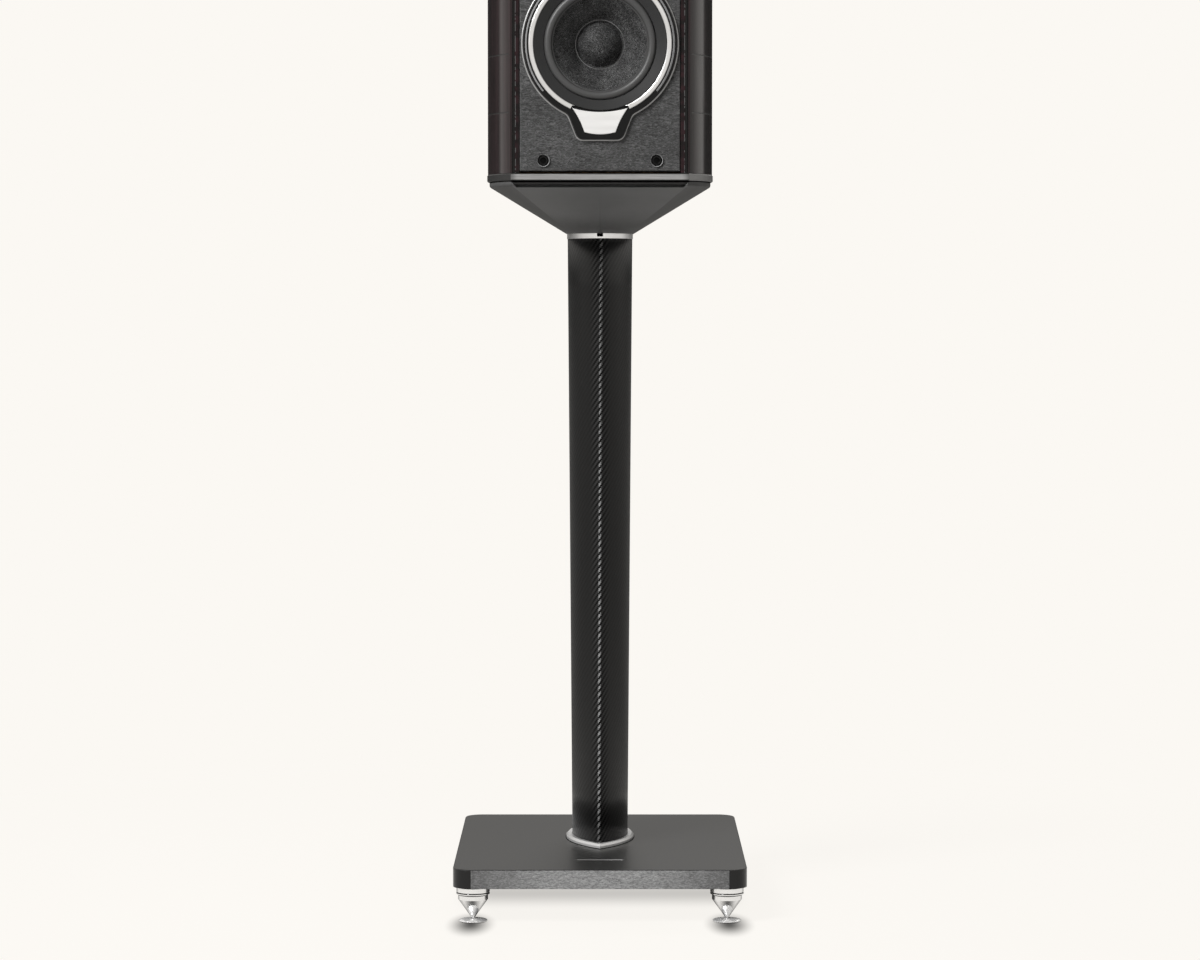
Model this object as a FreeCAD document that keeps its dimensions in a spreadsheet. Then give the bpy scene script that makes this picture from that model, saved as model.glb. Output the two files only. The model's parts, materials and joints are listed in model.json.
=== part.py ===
import FreeCAD, Part
import os
import re

import Sketcher
from FreeCAD import Placement, Rotation, Vector

# A stand-mount loudspeaker on its own floor stand. Millimetres, +Z up, the front faces -Y.
# The origin is on the floor, under the middle of the base plate.

# ------------------------------------------------------------------ driving sizes
SIZES = [
    # base plate and feet
    ("base_width", 313, "base plate, left to right"),
    ("base_depth", 403, "base plate, front to back"),
    ("base_thickness", 20.5, "base plate"),
    ("base_corner", 19.5, "corner radius of the base plate"),
    ("base_edge", 0.8, "bevel round the top of the base plate"),
    ("base_height", 38.2, "floor to the underside of the base plate"),
    ("foot_inset_side", 21.3, "foot centre to the side of the base plate"),
    ("foot_inset_front", 18.5, "foot centre to the front or back of the base plate"),
    ("disc_radius", 15.3, "floor disc"),
    ("disc_thickness", 4, "floor disc"),
    ("disc_edge", 0.7, "bevel round the top of a floor disc"),
    ("dimple_radius", 2.4, "cup that the spike stands in"),
    ("dimple_depth", 0.8, "cup that the spike stands in"),
    ("seat_gap", 0.3, "clearance between pieces that move apart"),
    ("spike_radius", 16, "cone of the spike at its shoulder"),
    ("spike_tip_radius", 0.7, "blunted point of the spike"),
    ("spike_body_height", 9.6, "straight part above the cone"),
    ("spike_neck_radius", 13.6, "groove between the spike and its lock ring"),
    ("spike_neck_height", 1.4, "groove between the spike and its lock ring"),
    ("lock_ring_radius", 16.6, "lock ring"),
    ("lock_ring_thickness", 2, "lock ring"),
    ("lock_ring_edge", 0.4, "bevel on the rim of the lock ring"),
    ("stud_radius", 5, "threaded stud of the spike"),
    ("stud_reach", 13, "stud inside the base plate"),
    ("thread_clearance", 0.05, "radial play of a thread or shaft"),
    ("insert_radius", 8, "threaded insert in the base plate"),
    ("insert_depth", 15, "threaded insert in the base plate"),
    # column
    ("column_setback", 49, "middle of the column behind the middle of the cabinet"),
    ("column_width", 62, "column at its foot"),
    ("column_length", 162, "column at its foot, point to point"),
    ("column_flare", 5, "how far each side of the column leans out by its head"),
    ("column_wall", 4, "carbon wall"),
    ("column_height", 670.5, "length of the column tube"),
    ("foot_ring_thickness", 5, "foot ring"),
    ("head_ring_thickness", 5.5, "head ring"),
    ("ring_rebate", 3, "depth that the column stands in each ring"),
    ("ring_fit", 0.1, "play of the column in each ring"),
    ("foot_ring_margin", 6.7, "foot ring beyond the column"),
    ("foot_ring_bevel", 2.2, "sloped shoulder of the foot ring"),
    ("head_ring_margin", 0.6, "head ring beyond the column"),
    ("head_ring_notch", 3.8, "notch in the front point of the head ring"),
    ("head_ring_notch_depth", 3.6, "notch, from the top of the ring"),
    ("block_height", 48, "plug inside each end of the column"),
    ("block_fit", 0.4, "play between plug and column wall"),
    ("tie_rod_radius", 6, "rod that clamps the column"),
    ("tie_nut_radius", 11, "nut on each end of the rod"),
    ("tie_nut_height", 7, "nut on each end of the rod"),
    ("tie_nut_seat", 14, "upper nut above the foot of the neck"),
    ("bolt_play", 0.2, "bolt or rod in its hole"),
    ("head_play", 1, "bolt head or nut in its counterbore"),
    ("base_bolt_radius", 4, "bolt from the base into the lower plug"),
    ("base_bolt_head_radius", 7, "head of that bolt"),
    ("base_bolt_head_height", 5, "head of that bolt"),
    ("base_bolt_reach", 28, "bolt above the base plate"),
    ("base_bolt_spread", 90, "distance between the two bolts"),
    # neck
    ("neck_height", 48.3, "sloped part of the neck"),
    ("neck_rim", 4.2, "upright rim of the neck"),
    ("neck_round", 3, "rounding between slope and rim"),
    ("neck_inset", 1.7, "rim of the neck inside the cabinet's outline"),
    ("neck_margin", 1.2, "neck beyond the column at the head ring"),
    ("neck_nose", 49, "front shoulder of the neck's foot, behind the column's front point"),
    ("neck_heel", 21, "rear shoulder of the neck's foot, ahead of the column's rear point"),
    ("recess_half_top", 94, "recess under the cabinet's front edge"),
    ("recess_half_bottom", 88, "recess under the cabinet's front edge"),
    ("recess_height", 5.9, "recess under the cabinet's front edge"),
    ("recess_depth", 14, "recess under the cabinet's front edge"),
    ("strip_thickness", 2.4, "plate in that recess"),
    ("strip_setback", 3, "plate in that recess, behind the rim"),
    ("strip_drop", 0.6, "plate in that recess, below the top of the neck"),
    ("strip_play", 0.2, "plate in that recess, to its back and sides"),
    ("stud_bolt_radius", 4, "studs that hold the cabinet"),
    ("stud_bolt_sink", 16, "studs inside the neck"),
    ("stud_bolt_nut_radius", 7.5, "nuts inside the cabinet"),
    ("stud_bolt_nut_height", 6.5, "nuts inside the cabinet"),
    ("stud_bolt_side", 56, "studs to each side"),
    ("stud_bolt_front", 94, "front pair of studs behind the cabinet's front"),
    ("stud_bolt_rear", 89, "rear pair of studs ahead of the cabinet's back"),
    ("cabinet_gap", 1, "felt gap between neck and cabinet"),
    # cabinet
    ("cabinet_front_y", -190, "face of the baffle"),
    ("cabinet_depth", 345, "baffle to spine"),
    ("cabinet_height", 375, "underside to top, with both plates"),
    ("front_half", 93.5, "half width at the front corners"),
    ("widest_half", 120.2, "half width at the widest point"),
    ("widest_setback", 80, "widest point behind the front"),
    ("spine_half", 46, "half width of the rear spine"),
    ("plate_thickness", 7.5, "metal plates above and below the cabinet"),
    ("plate_proud", 0.8, "plates beyond the cabinet walls"),
    ("plate_edge", 0.9, "bevel round each plate"),
    ("joint_gap", 0.2, "glue line between cabinet pieces"),
    ("wall", 20, "curved side walls"),
    ("baffle_half", 84.5, "half width of the leather baffle"),
    ("baffle_thickness", 25, "leather baffle"),
    ("baffle_shadow", 2.2, "shadow gap above and below the baffle"),
    ("baffle_edge", 1.5, "rounded edge of the leather"),
    ("wall_nose", 1.5, "front edge of the wall behind the baffle's face"),
    ("strip_edge", 1.2, "rounded edge of the corner strips"),
    ("spine_thickness", 22, "rear spine, front to back"),
    ("floor_thickness", 16, "floor and roof boards"),
    ("brace_z", 1016, "underside of the brace"),
    ("brace_thickness", 12, "brace"),
    ("brace_window", 42, "opening in the brace"),
    ("brace_setback", 170, "middle of the opening in the brace behind the cabinet's front"),
    ("wadding_thickness", 14, "damping on the side walls"),
    ("wadding_height", 150, "damping on the side walls"),
    ("wadding_z", 850, "underside of the damping"),
    ("wadding_front", 50, "damping behind the cabinet's front"),
    ("wadding_rear", 85, "damping ahead of the cabinet's back"),
    ("inlay_pitch", 61, "spacing of the inlaid lines"),
    ("inlay_first", 63.3, "lowest inlaid line above the foot of the wall"),
    ("inlay_lines", 5, "inlaid lines on each side"),
    ("inlay_height", 1.2, "inlaid line"),
    ("inlay_depth", 1, "inlaid line"),
    ("inlay_setback", 4, "front end of the inlaid lines behind the cabinet's front"),
    # woofer, measured from the baffle's face
    ("woofer_z", 930.6, "centre of the woofer"),
    ("woofer_trim_radius", 81.5, "trim ring"),
    ("woofer_trim_height", 5, "trim ring in front of the baffle"),
    ("woofer_ring_outer", 75.5, "bright ring"),
    ("woofer_ring_inner", 70.1, "bright ring"),
    ("ring_channel", 2, "depth of the channel for a bright ring"),
    ("ring_proud", 0.4, "bright ring in front of its trim"),
    ("ring_play", 0.1, "bright ring in its channel"),
    ("trim_dish", 3.6, "slope of the trim towards the surround"),
    ("trim_edge", 1.2, "bevelled edge of a trim"),
    ("tab_half_top", 36.4, "label tab where it leaves the ring"),
    ("tab_half_bottom", 23.6, "label tab at its foot"),
    ("tab_drop", 100.8, "foot of the label tab below the centre"),
    ("tab_root", 68, "start of the label tab below the centre"),
    ("tab_fillet", 9, "corners of the label tab"),
    ("tab_root_fillet", 10, "hollow corners where the label tab leaves the ring"),
    ("label_half_top", 29.3, "label plate"),
    ("label_half_bottom", 16.4, "label plate"),
    ("label_half_waist", 21.4, "label plate between its corners"),
    ("label_middle", 80.6, "that place below the centre"),
    ("label_top", 67.6, "top corners of the label plate below the centre"),
    ("label_waist", 93, "bottom corners of the label plate below the centre"),
    ("label_foot", 95.3, "lowest point of the label plate below the centre"),
    ("label_bow", 71.8, "middle of the label's top edge below the centre"),
    ("label_gap", 1.3, "dark line between label and ring"),
    ("flange_radius", 72, "basket flange"),
    ("flange_thickness", 5, "basket flange"),
    ("flange_play", 0.4, "basket in its rebate"),
    ("flange_sink", 1.2, "basket flange behind the baffle's face"),
    ("mouth_margin", 1, "hole in the baffle round a driver's body"),
    ("surround_outer", 59, "outside of the surround roll"),
    ("surround_lip", 4, "flat lip of the surround"),
    ("surround_wall", 0.8, "rubber of the surround"),
    ("surround_height", 4.2, "surround roll"),
    ("surround_sink", 0.3, "lips of the surround behind the baffle's face"),
    ("surround_bond", 1, "lip of the surround on the cone"),
    ("cone_outer", 50.4, "cone edge"),
    ("cone_neck", 19.2, "cone at the voice coil"),
    ("cone_depth", 25, "cone, edge to neck"),
    ("cone_belly", 2.6, "how far the cone bows"),
    ("cone_wall", 0.9, "cone paper"),
    ("cone_neck_wall", 1.2, "cone paper at the voice coil"),
    ("dome_radius", 23.3, "dust dome"),
    ("dome_height", 12.5, "dust dome"),
    ("dome_lip", 1.9, "glued lip of the dust dome"),
    ("coil_inner", 18.8, "voice coil former"),
    ("coil_outer", 19.6, "voice coil winding"),
    ("coil_length", 31, "voice coil and former"),
    ("coil_gap", 0.6, "air on each side of the voice coil"),
    ("spider_outer", 45, "spider"),
    ("spider_depth", 33, "spider behind the baffle's face"),
    ("spider_wall", 0.6, "spider cloth"),
    ("spider_wave", 2, "height of a spider wave"),
    ("basket_wall", 3, "cast basket"),
    ("basket_depth", 47, "basket behind the baffle's face"),
    ("basket_throat", 40, "basket at the magnet"),
    ("basket_window", 14, "half width of a basket window"),
    ("basket_arms", 6, "arms of the basket"),
    ("magnet_radius", 46, "magnet"),
    ("magnet_top", 6, "front plate of the magnet"),
    ("magnet_height", 26, "magnet with both plates"),
    ("magnet_back", 7, "back plate of the magnet"),
    ("woofer_travel", 5, "cone travel each way"),
    # tweeter, measured from the baffle's face
    ("tweeter_z", 1070, "centre of the tweeter"),
    ("tweeter_trim_radius", 52, "trim ring"),
    ("tweeter_ring_outer", 47.4, "bright ring"),
    ("tweeter_ring_inner", 43.6, "bright ring"),
    ("faceplate_radius", 41, "tweeter face"),
    ("faceplate_thickness", 4, "tweeter face"),
    ("faceplate_proud", 1.5, "tweeter face in front of the baffle"),
    ("horn_radius", 27, "shallow flare round the dome"),
    ("horn_depth", 2.6, "shallow flare round the dome"),
    ("tweeter_dome_radius", 14, "tweeter dome"),
    ("tweeter_dome_height", 5.5, "tweeter dome"),
    ("tweeter_dome_wall", 0.5, "tweeter dome"),
    ("tweeter_roll", 3, "roll round the tweeter dome"),
    ("tweeter_coil_length", 5, "tweeter voice coil"),
    ("tweeter_coil_wall", 0.5, "tweeter voice coil"),
    ("tweeter_magnet_radius", 34, "tweeter magnet"),
    ("tweeter_magnet_height", 30, "tweeter magnet"),
    ("tweeter_gap", 0.5, "air on each side of the tweeter coil"),
    ("tweeter_gap_depth", 9, "slot for the tweeter coil"),
    # grille sockets
    ("socket_side", 59.6, "grille sockets to each side"),
    ("socket_low_z", 808.1, "lower grille sockets"),
    ("socket_high_z", 1141, "upper grille sockets"),
    ("socket_radius", 6.75, "rim of a grille socket"),
    ("socket_body_radius", 5.5, "grille socket in the baffle"),
    ("socket_bore", 3.4, "hole of a grille socket"),
    ("socket_depth", 12, "grille socket in the baffle"),
    ("socket_rim", 1, "rim of a grille socket"),
    ("socket_bore_depth", 9, "hole of a grille socket behind the baffle's face"),
    # rear port and terminals
    ("port_z", 1085, "centre of the port"),
    ("port_radius", 26, "bore of the port"),
    ("port_wall", 3, "port tube"),
    ("port_length", 105, "port tube"),
    ("port_flare", 35, "rim of the port"),
    ("port_rim", 4, "thickness of the port's rim"),
    ("terminal_z", 880, "centre of the terminal plate"),
    ("terminal_half_width", 37, "terminal plate"),
    ("terminal_half_height", 48, "terminal plate"),
    ("terminal_thickness", 4, "terminal plate"),
    ("terminal_corner", 8, "corner radius of the terminal plate"),
    ("post_side", 18, "binding posts to each side"),
    ("post_rise", 22, "binding posts above and below the plate's middle"),
    ("post_radius", 4, "threaded post"),
    ("post_bore", 2.05, "plug hole of a post"),
    ("post_bore_depth", 19, "plug hole of a post"),
    ("post_length", 27, "post behind the plate"),
    ("post_collar_radius", 8, "collar of a post"),
    ("post_collar", 5, "collar of a post"),
    ("post_tail", 18, "post inside the cabinet"),
    ("nut_radius", 8.5, "binding nut"),
    ("nut_length", 16, "binding nut"),
    ("nut_lift", 1.5, "open gap under a binding nut"),
    ("nut_flute", 1.1, "finger groove of a nut"),
    ("nut_edge", 1, "bevel on the ends of a nut"),
    ("nut_flutes", 6, "finger grooves of a nut"),
    # crossover
    ("board_half_width", 48, "crossover board"),
    ("board_length", 146, "crossover board"),
    ("board_rear", 67, "crossover board ahead of the cabinet's back"),
    ("board_thickness", 3, "crossover board"),
    ("inductor_radius", 19, "air-core coil"),
    ("inductor_core", 9, "hole of an air-core coil"),
    ("inductor_height", 16, "air-core coil"),
    ("capacitor_radius", 9, "film capacitor"),
    ("capacitor_length", 46, "film capacitor"),
]

doc = FreeCAD.newDocument("speaker_on_stand")
sheet = doc.addObject("Spreadsheet::Sheet", "Sizes")
for row, (alias, number, note) in enumerate(SIZES, start=1):
    sheet.set(f"A{row}", alias)
    sheet.set(f"B{row}", str(number))
    sheet.set(f"C{row}", note)
    sheet.setAlias(f"B{row}", alias)
doc.recompute()

ALIASES = re.compile(r"\b(" + "|".join(alias for alias, _, _ in SIZES) + r")\b")

# ------------------------------------------------------------------ places worked out from them
FOOT_X = "(base_width / 2 - foot_inset_side)"
FOOT_Y = "(base_depth / 2 - foot_inset_front)"
BASE_TOP = "(base_height + base_thickness)"
COLUMN_FOOT = f"({BASE_TOP} + foot_ring_thickness - ring_rebate)"
COLUMN_HEAD = f"({COLUMN_FOOT} + column_height)"
NECK_FOOT = f"({COLUMN_HEAD} + head_ring_thickness - ring_rebate)"
RIM_FOOT = f"({NECK_FOOT} + neck_height)"
NECK_TOP = f"({RIM_FOOT} + neck_rim)"
CABINET_FOOT = f"({NECK_TOP} + cabinet_gap)"
CABINET_TOP = f"({CABINET_FOOT} + cabinet_height)"
WALL_FOOT = f"({CABINET_FOOT} + plate_thickness)"
WALL_HEIGHT = "(cabinet_height - 2 * plate_thickness)"
COLUMN_Y = "(cabinet_front_y + cabinet_depth / 2 + column_setback)"
WIDEST_Y = "(cabinet_front_y + widest_setback)"
BACK_Y = "(cabinet_front_y + cabinet_depth)"
BAFFLE_BACK_Y = "(cabinet_front_y + baffle_thickness)"
RECESS_BACK_Y = "(cabinet_front_y + neck_inset + recess_depth)"
WALL_BACK_Y = f"({BACK_Y} - spine_thickness - joint_gap)"
INLAY_FRONT_Y = "(cabinet_front_y + inlay_setback)"
BOARD_BACK_Y = f"({BACK_Y} - board_rear)"
BOARD_FRONT_Y = f"({BOARD_BACK_Y} - board_length)"
FRONT_BOW = "(((widest_half - front_half)^2 + widest_setback^2) / (2 * (widest_half - front_half)))"
REAR_BOW = ("(((widest_half - spine_half)^2 + (cabinet_depth - widest_setback)^2)"
            " / (2 * (widest_half - spine_half)))")


# Two places count as the same within this distance.
TOUCHING = 1e-4


# ------------------------------------------------------------------ drawing helpers
def full(expression):
    """The expression with the sheet's name before each size."""
    return ALIASES.sub(r"Sizes.\1", str(expression))


def value(expression):
    """What the expression comes to now, in millimetres."""
    return float(sheet.evalExpression(full(expression)))


def bind(item, name, expression):
    """Tie a property to the sheet."""
    item.setExpression(name, full(expression))


pieces = []


def new_body(label, y="0", z="0", turn=0):
    """A body with its own label, turned about X and set at a height and depth."""
    body = doc.addObject("PartDesign::Body", label)
    body.Label = label
    body.AllowCompound = True
    body.Placement = Placement(Vector(), Rotation(Vector(1, 0, 0), turn))
    bind(body, "Placement.Base.y", y)
    bind(body, "Placement.Base.z", z)
    pieces.append(body)
    return body


def front_body(label, z):
    """A body whose own +Z points out of the baffle's face."""
    return new_body(label, "cabinet_front_y", z, turn=90)


def rear_body(label, z):
    """A body whose own +Z points out of the spine's back."""
    return new_body(label, BACK_Y, z, turn=-90)


def origin_item(body, role):
    return [item for item in body.Origin.OriginFeatures if item.Role == role][0]


def new_sketch(body, role="XY_Plane", offset="0"):
    sketch = body.newObject("Sketcher::SketchObject", f"{body.Label}_sketch")
    sketch.AttachmentSupport = (origin_item(body, role), [""])
    sketch.MapMode = "FlatFace"
    bind(sketch, "AttachmentOffset.Base.z", offset)
    return sketch


def hold(sketch, kind, *geometry, size):
    """Add a dimension and tie it to the sheet."""
    index = sketch.addConstraint(Sketcher.Constraint(kind, *geometry, value(size)))
    bind(sketch, f"Constraints[{index}]", size)


def pin(sketch, geometry, point, x, y):
    hold(sketch, "DistanceX", -1, 1, geometry, point, size=x)
    hold(sketch, "DistanceY", -1, 1, geometry, point, size=y)


def circle(sketch, x, y, radius):
    centre = Vector(value(x), value(y), 0)
    index = sketch.addGeometry(Part.Circle(centre, Vector(0, 0, 1), value(radius)), False)
    pin(sketch, index, 3, x, y)
    hold(sketch, "Radius", index, size=radius)


def outline(sketch, steps):
    """A closed run of lines and arcs: (x, y) is a line to x, y, and
    (via_x, via_y, x, y) an arc through the first point to the second."""
    ends = [Vector(value(step[-2]), value(step[-1]), 0) for step in steps]
    edges = []
    for number, step in enumerate(steps):
        start = ends[number - 1]
        if len(step) == 4:
            via = Vector(value(step[0]), value(step[1]), 0)
            turn = (via - start).cross(ends[number] - via).z
            first, last = (start, ends[number]) if turn > 0 else (ends[number], start)
            index = sketch.addGeometry(Part.Arc(first, via, last), False)
            mark = sketch.addGeometry(Part.Point(via), True)
            pin(sketch, mark, 1, step[0], step[1])
            sketch.addConstraint(Sketcher.Constraint("PointOnObject", mark, 1, index))
        else:
            index = sketch.addGeometry(Part.LineSegment(start, ends[number]), False)
        forward = sketch.Geometry[index].StartPoint.distanceToPoint(start) < 1e-6
        edges.append((index, 1, 2) if forward else (index, 2, 1))
    for number, (index, first, last) in enumerate(edges):
        before, _, before_last = edges[number - 1]
        sketch.addConstraint(Sketcher.Constraint("Coincident", before, before_last, index, first))
        pin(sketch, index, last, steps[number][-2], steps[number][-1])


def pad(body, sketch, length, backward=False):
    feature = body.newObject("PartDesign::Pad", f"{body.Label}_pad")
    feature.Profile = sketch
    feature.Reversed = backward
    bind(feature, "Length", length)
    return feature


def spin(body, profile, angle="360"):
    """Revolve a profile of (radius, height) steps about the body's own Z."""
    sketch = new_sketch(body, "XZ_Plane")
    outline(sketch, profile)
    feature = body.newObject("PartDesign::Revolution", f"{body.Label}_spin")
    feature.Profile = sketch
    feature.ReferenceAxis = (sketch, ["V_Axis"])
    bind(feature, "Angle", angle)
    return feature


def must_cut(body, feature):
    """A cut that removes nothing is a mistake, so the volume is compared."""
    before = feature.BaseFeature.Shape.Volume
    doc.recompute()
    if not feature.Shape.Volume < before - 1e-3:
        raise RuntimeError(f"{feature.Label} removed nothing from {body.Label}")
    return feature


def pocket(body, sketch, length, backward=False):
    doc.recompute()
    feature = body.newObject("PartDesign::Pocket", f"{body.Label}_pocket")
    feature.Profile = sketch
    feature.Reversed = backward
    bind(feature, "Length", length)
    return must_cut(body, feature)


def groove(body, profile):
    """Turn a profile of (radius, height) steps out of the body."""
    doc.recompute()
    sketch = new_sketch(body, "XZ_Plane")
    outline(sketch, profile)
    feature = body.newObject("PartDesign::Groove", f"{body.Label}_groove")
    feature.Profile = sketch
    feature.ReferenceAxis = (sketch, ["V_Axis"])
    feature.Angle = 360
    return must_cut(body, feature)


def loft(body, sections, kind="AdditiveLoft"):
    doc.recompute()
    feature = body.newObject(f"PartDesign::{kind}", f"{body.Label}_loft")
    feature.Profile = sections[0]
    feature.Sections = sections[1:]
    feature.Ruled = True
    return must_cut(body, feature) if kind == "SubtractiveLoft" else feature


def dress(body, kind, size, chosen):
    """Fillet or chamfer every edge that passes a test."""
    doc.recompute()
    base = body.Tip
    edges = [f"Edge{i}" for i, edge in enumerate(base.Shape.Edges, start=1) if chosen(edge)]
    feature = body.newObject(f"PartDesign::{kind}", f"{body.Label}_{kind.lower()}")
    feature.Base = (base, edges)
    bind(feature, "Radius" if kind == "Fillet" else "Size", size)
    return feature


def level(edge, height):
    """True for an edge that lies flat at a height of its body."""
    box = edge.BoundBox
    return abs(box.ZMin - height) < TOUCHING and abs(box.ZMax - height) < TOUCHING


def upright(edge):
    """True for a straight edge along the body's Z."""
    box = edge.BoundBox
    return box.ZLength > 1e-3 and box.XLength < 1e-6 and box.YLength < 1e-6


def repeat(body, feature, count):
    """Copy a feature round the body's own Z."""
    pattern = body.newObject("PartDesign::PolarPattern", f"{body.Label}_pattern")
    pattern.Originals = [feature]
    pattern.Axis = (origin_item(body, "Z_Axis"), [""])
    pattern.Angle = 360
    bind(pattern, "Occurrences", count)
    body.Tip = pattern
    return pattern


def at_feet(sketch, radius):
    """One circle over each foot."""
    for x in (f"-{FOOT_X}", FOOT_X):
        for y in (f"-{FOOT_Y}", FOOT_Y):
            circle(sketch, x, y, radius)


# ------------------------------------------------------------------ the two plan outlines
COLUMN_BOW = "(((column_width / 2)^2 + (column_length / 2)^2) / column_width)"


def lens_x(inset, ahead):
    """Half width of the column's pointed section, inset from its foot, at a distance from its middle."""
    return f"(column_width / 2 - {COLUMN_BOW} + sqrt(({COLUMN_BOW} - ({inset}))^2 - ({ahead})^2))"


def lens_tip(inset):
    """Half length of the column's pointed section, inset from its foot."""
    return f"sqrt(({COLUMN_BOW} - ({inset}))^2 - ({COLUMN_BOW} - column_width / 2)^2)"


def lens(sketch, inset):
    """The column's pointed section: two bows that meet at the front and at the back."""
    half = lens_x(inset, "0")
    outline(sketch, [(half, COLUMN_Y, "0", f"{COLUMN_Y} + {lens_tip(inset)}"),
                     (f"-{half}", COLUMN_Y, "0", f"{COLUMN_Y} - {lens_tip(inset)}")])


def lens_with_shoulders(sketch, inset, crease, tail):
    """The same section with each bow split at its middle and at a front and a rear shoulder,
    which give the neck's loft its corners."""
    tip = lens_tip(inset)
    def at(ahead, sign):
        return (lens_x(inset, ahead), f"{COLUMN_Y} {sign} ({ahead})")
    front_tip = ("0", f"{COLUMN_Y} - {tip}")
    rear_tip = ("0", f"{COLUMN_Y} + {tip}")
    stations = [front_tip, at(crease, "-"), at("0", "+"), at(tail, "+"), rear_tip]
    vias = [at(f"({tip} + {crease}) / 2", "-"), at(f"{crease} / 2", "-"),
            at(f"{tail} / 2", "+"), at(f"({tip} + {tail}) / 2", "+")]
    right = [via + station for via, station in zip(vias, stations[1:])]
    left = [point_left(via) + (point_left(station) if station != front_tip else front_tip)
            for via, station in zip(reversed(vias), reversed(stations[:-1]))]
    outline(sketch, right + left)


def flank_x(bow, inset, y):
    """Half width of the cabinet's curved side at a depth, inset from the outside."""
    return f"(widest_half - {bow} + sqrt(({bow} - ({inset}))^2 - (({y}) - {WIDEST_Y})^2))"


def flank_y(inset, x):
    """Depth at which the rear bow of the cabinet's side reaches a half width."""
    return f"({WIDEST_Y} + sqrt(({REAR_BOW} - ({inset}))^2 - (({x}) - widest_half + {REAR_BOW})^2))"


def plan(sketch, inset, front, back):
    """The cabinet's whole plan: flat front, bowed sides, narrow flat back.
    Its right half runs from the middle of the front to the middle of the back."""
    def point(bow, y):
        return (flank_x(bow, inset, y), y)
    corner, widest, tail = point(FRONT_BOW, front), point(FRONT_BOW, WIDEST_Y), point(REAR_BOW, back)
    ahead = point(FRONT_BOW, f"(({front}) + {WIDEST_Y}) / 2")
    behind = point(REAR_BOW, f"(({back}) + {WIDEST_Y}) / 2")
    right = [corner, ahead + widest, behind + tail, ("0", back)]
    left = [point_left(tail), point_left(behind) + point_left(widest),
            point_left(ahead) + point_left(corner), ("0", front)]
    outline(sketch, right + left)


def point_left(point):
    return (f"-{point[0]}", point[1])


def flank(sketch, side, outer, inner, front, back, rebate=None):
    """A strip of the cabinet's curved side between two insets. side is 1 or -1.
    With a rebate (x, y) its front end is cut back to clear the baffle."""
    def at(bow, inset, y):
        return (f"{side} * {flank_x(bow, inset, y)}", y)
    inner_front = rebate[1] if rebate else front
    front_middle = f"(({front}) + {WIDEST_Y}) / 2"
    inner_middle = f"(({inner_front}) + {WIDEST_Y}) / 2"
    back_middle = f"(({back}) + {WIDEST_Y}) / 2"
    steps = [at(FRONT_BOW, outer, front_middle) + at(FRONT_BOW, outer, WIDEST_Y),
             at(REAR_BOW, outer, back_middle) + at(REAR_BOW, outer, back),
             at(REAR_BOW, inner, back),
             at(REAR_BOW, inner, back_middle) + at(REAR_BOW, inner, WIDEST_Y),
             at(FRONT_BOW, inner, inner_middle) + at(FRONT_BOW, inner, inner_front)]
    if rebate:
        edge = f"{side} * ({rebate[0]})"
        steps += [(edge, rebate[1]), (edge, front)]
    steps.append(at(FRONT_BOW, outer, front))
    outline(sketch, steps)


# ------------------------------------------------------------------ base plate and feet
def rectangle(sketch, left, right, low, high):
    outline(sketch, [(left, low), (right, low), (right, high), (left, high)])


def make_base_plate():
    body = new_body("base_plate", z="base_height")
    sketch = new_sketch(body)
    rectangle(sketch, "-base_width / 2", "base_width / 2", "-base_depth / 2", "base_depth / 2")
    pad(body, sketch, "base_thickness")
    dress(body, "Fillet", "base_corner", upright)
    top = value("base_thickness")
    dress(body, "Chamfer", "base_edge", lambda edge: level(edge, top))
    holes = new_sketch(body)
    at_feet(holes, "insert_radius + joint_gap")
    pocket(body, holes, "insert_depth + joint_gap", backward=True)
    bolt_holes = new_sketch(body)
    tie_and_bolts(bolt_holes, "tie_rod_radius + bolt_play", "base_bolt_radius + bolt_play")
    pocket(body, bolt_holes, "base_thickness", backward=True)
    counterbores = new_sketch(body)
    bolt_spots(counterbores, "base_bolt_head_radius + head_play")
    pocket(body, counterbores, "base_bolt_head_height + head_play", backward=True)
    nut_counterbore = new_sketch(body)
    circle(nut_counterbore, "0", COLUMN_Y, "tie_nut_radius + head_play")
    pocket(body, nut_counterbore, "tie_nut_height + head_play", backward=True)


def bolt_spots(sketch, radius):
    for sign in ("-", "+"):
        circle(sketch, "0", f"{COLUMN_Y} {sign} base_bolt_spread / 2", radius)


def tie_and_bolts(sketch, rod_radius, bolt_radius):
    circle(sketch, "0", COLUMN_Y, rod_radius)
    bolt_spots(sketch, bolt_radius)


def make_floor_discs():
    body = new_body("floor_discs")
    sketch = new_sketch(body)
    at_feet(sketch, "disc_radius")
    pad(body, sketch, "disc_thickness")
    top = value("disc_thickness")
    dress(body, "Chamfer", "disc_edge", lambda edge: level(edge, top))
    cups = new_sketch(body, offset="disc_thickness")
    at_feet(cups, "dimple_radius")
    pocket(body, cups, "dimple_depth")


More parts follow.
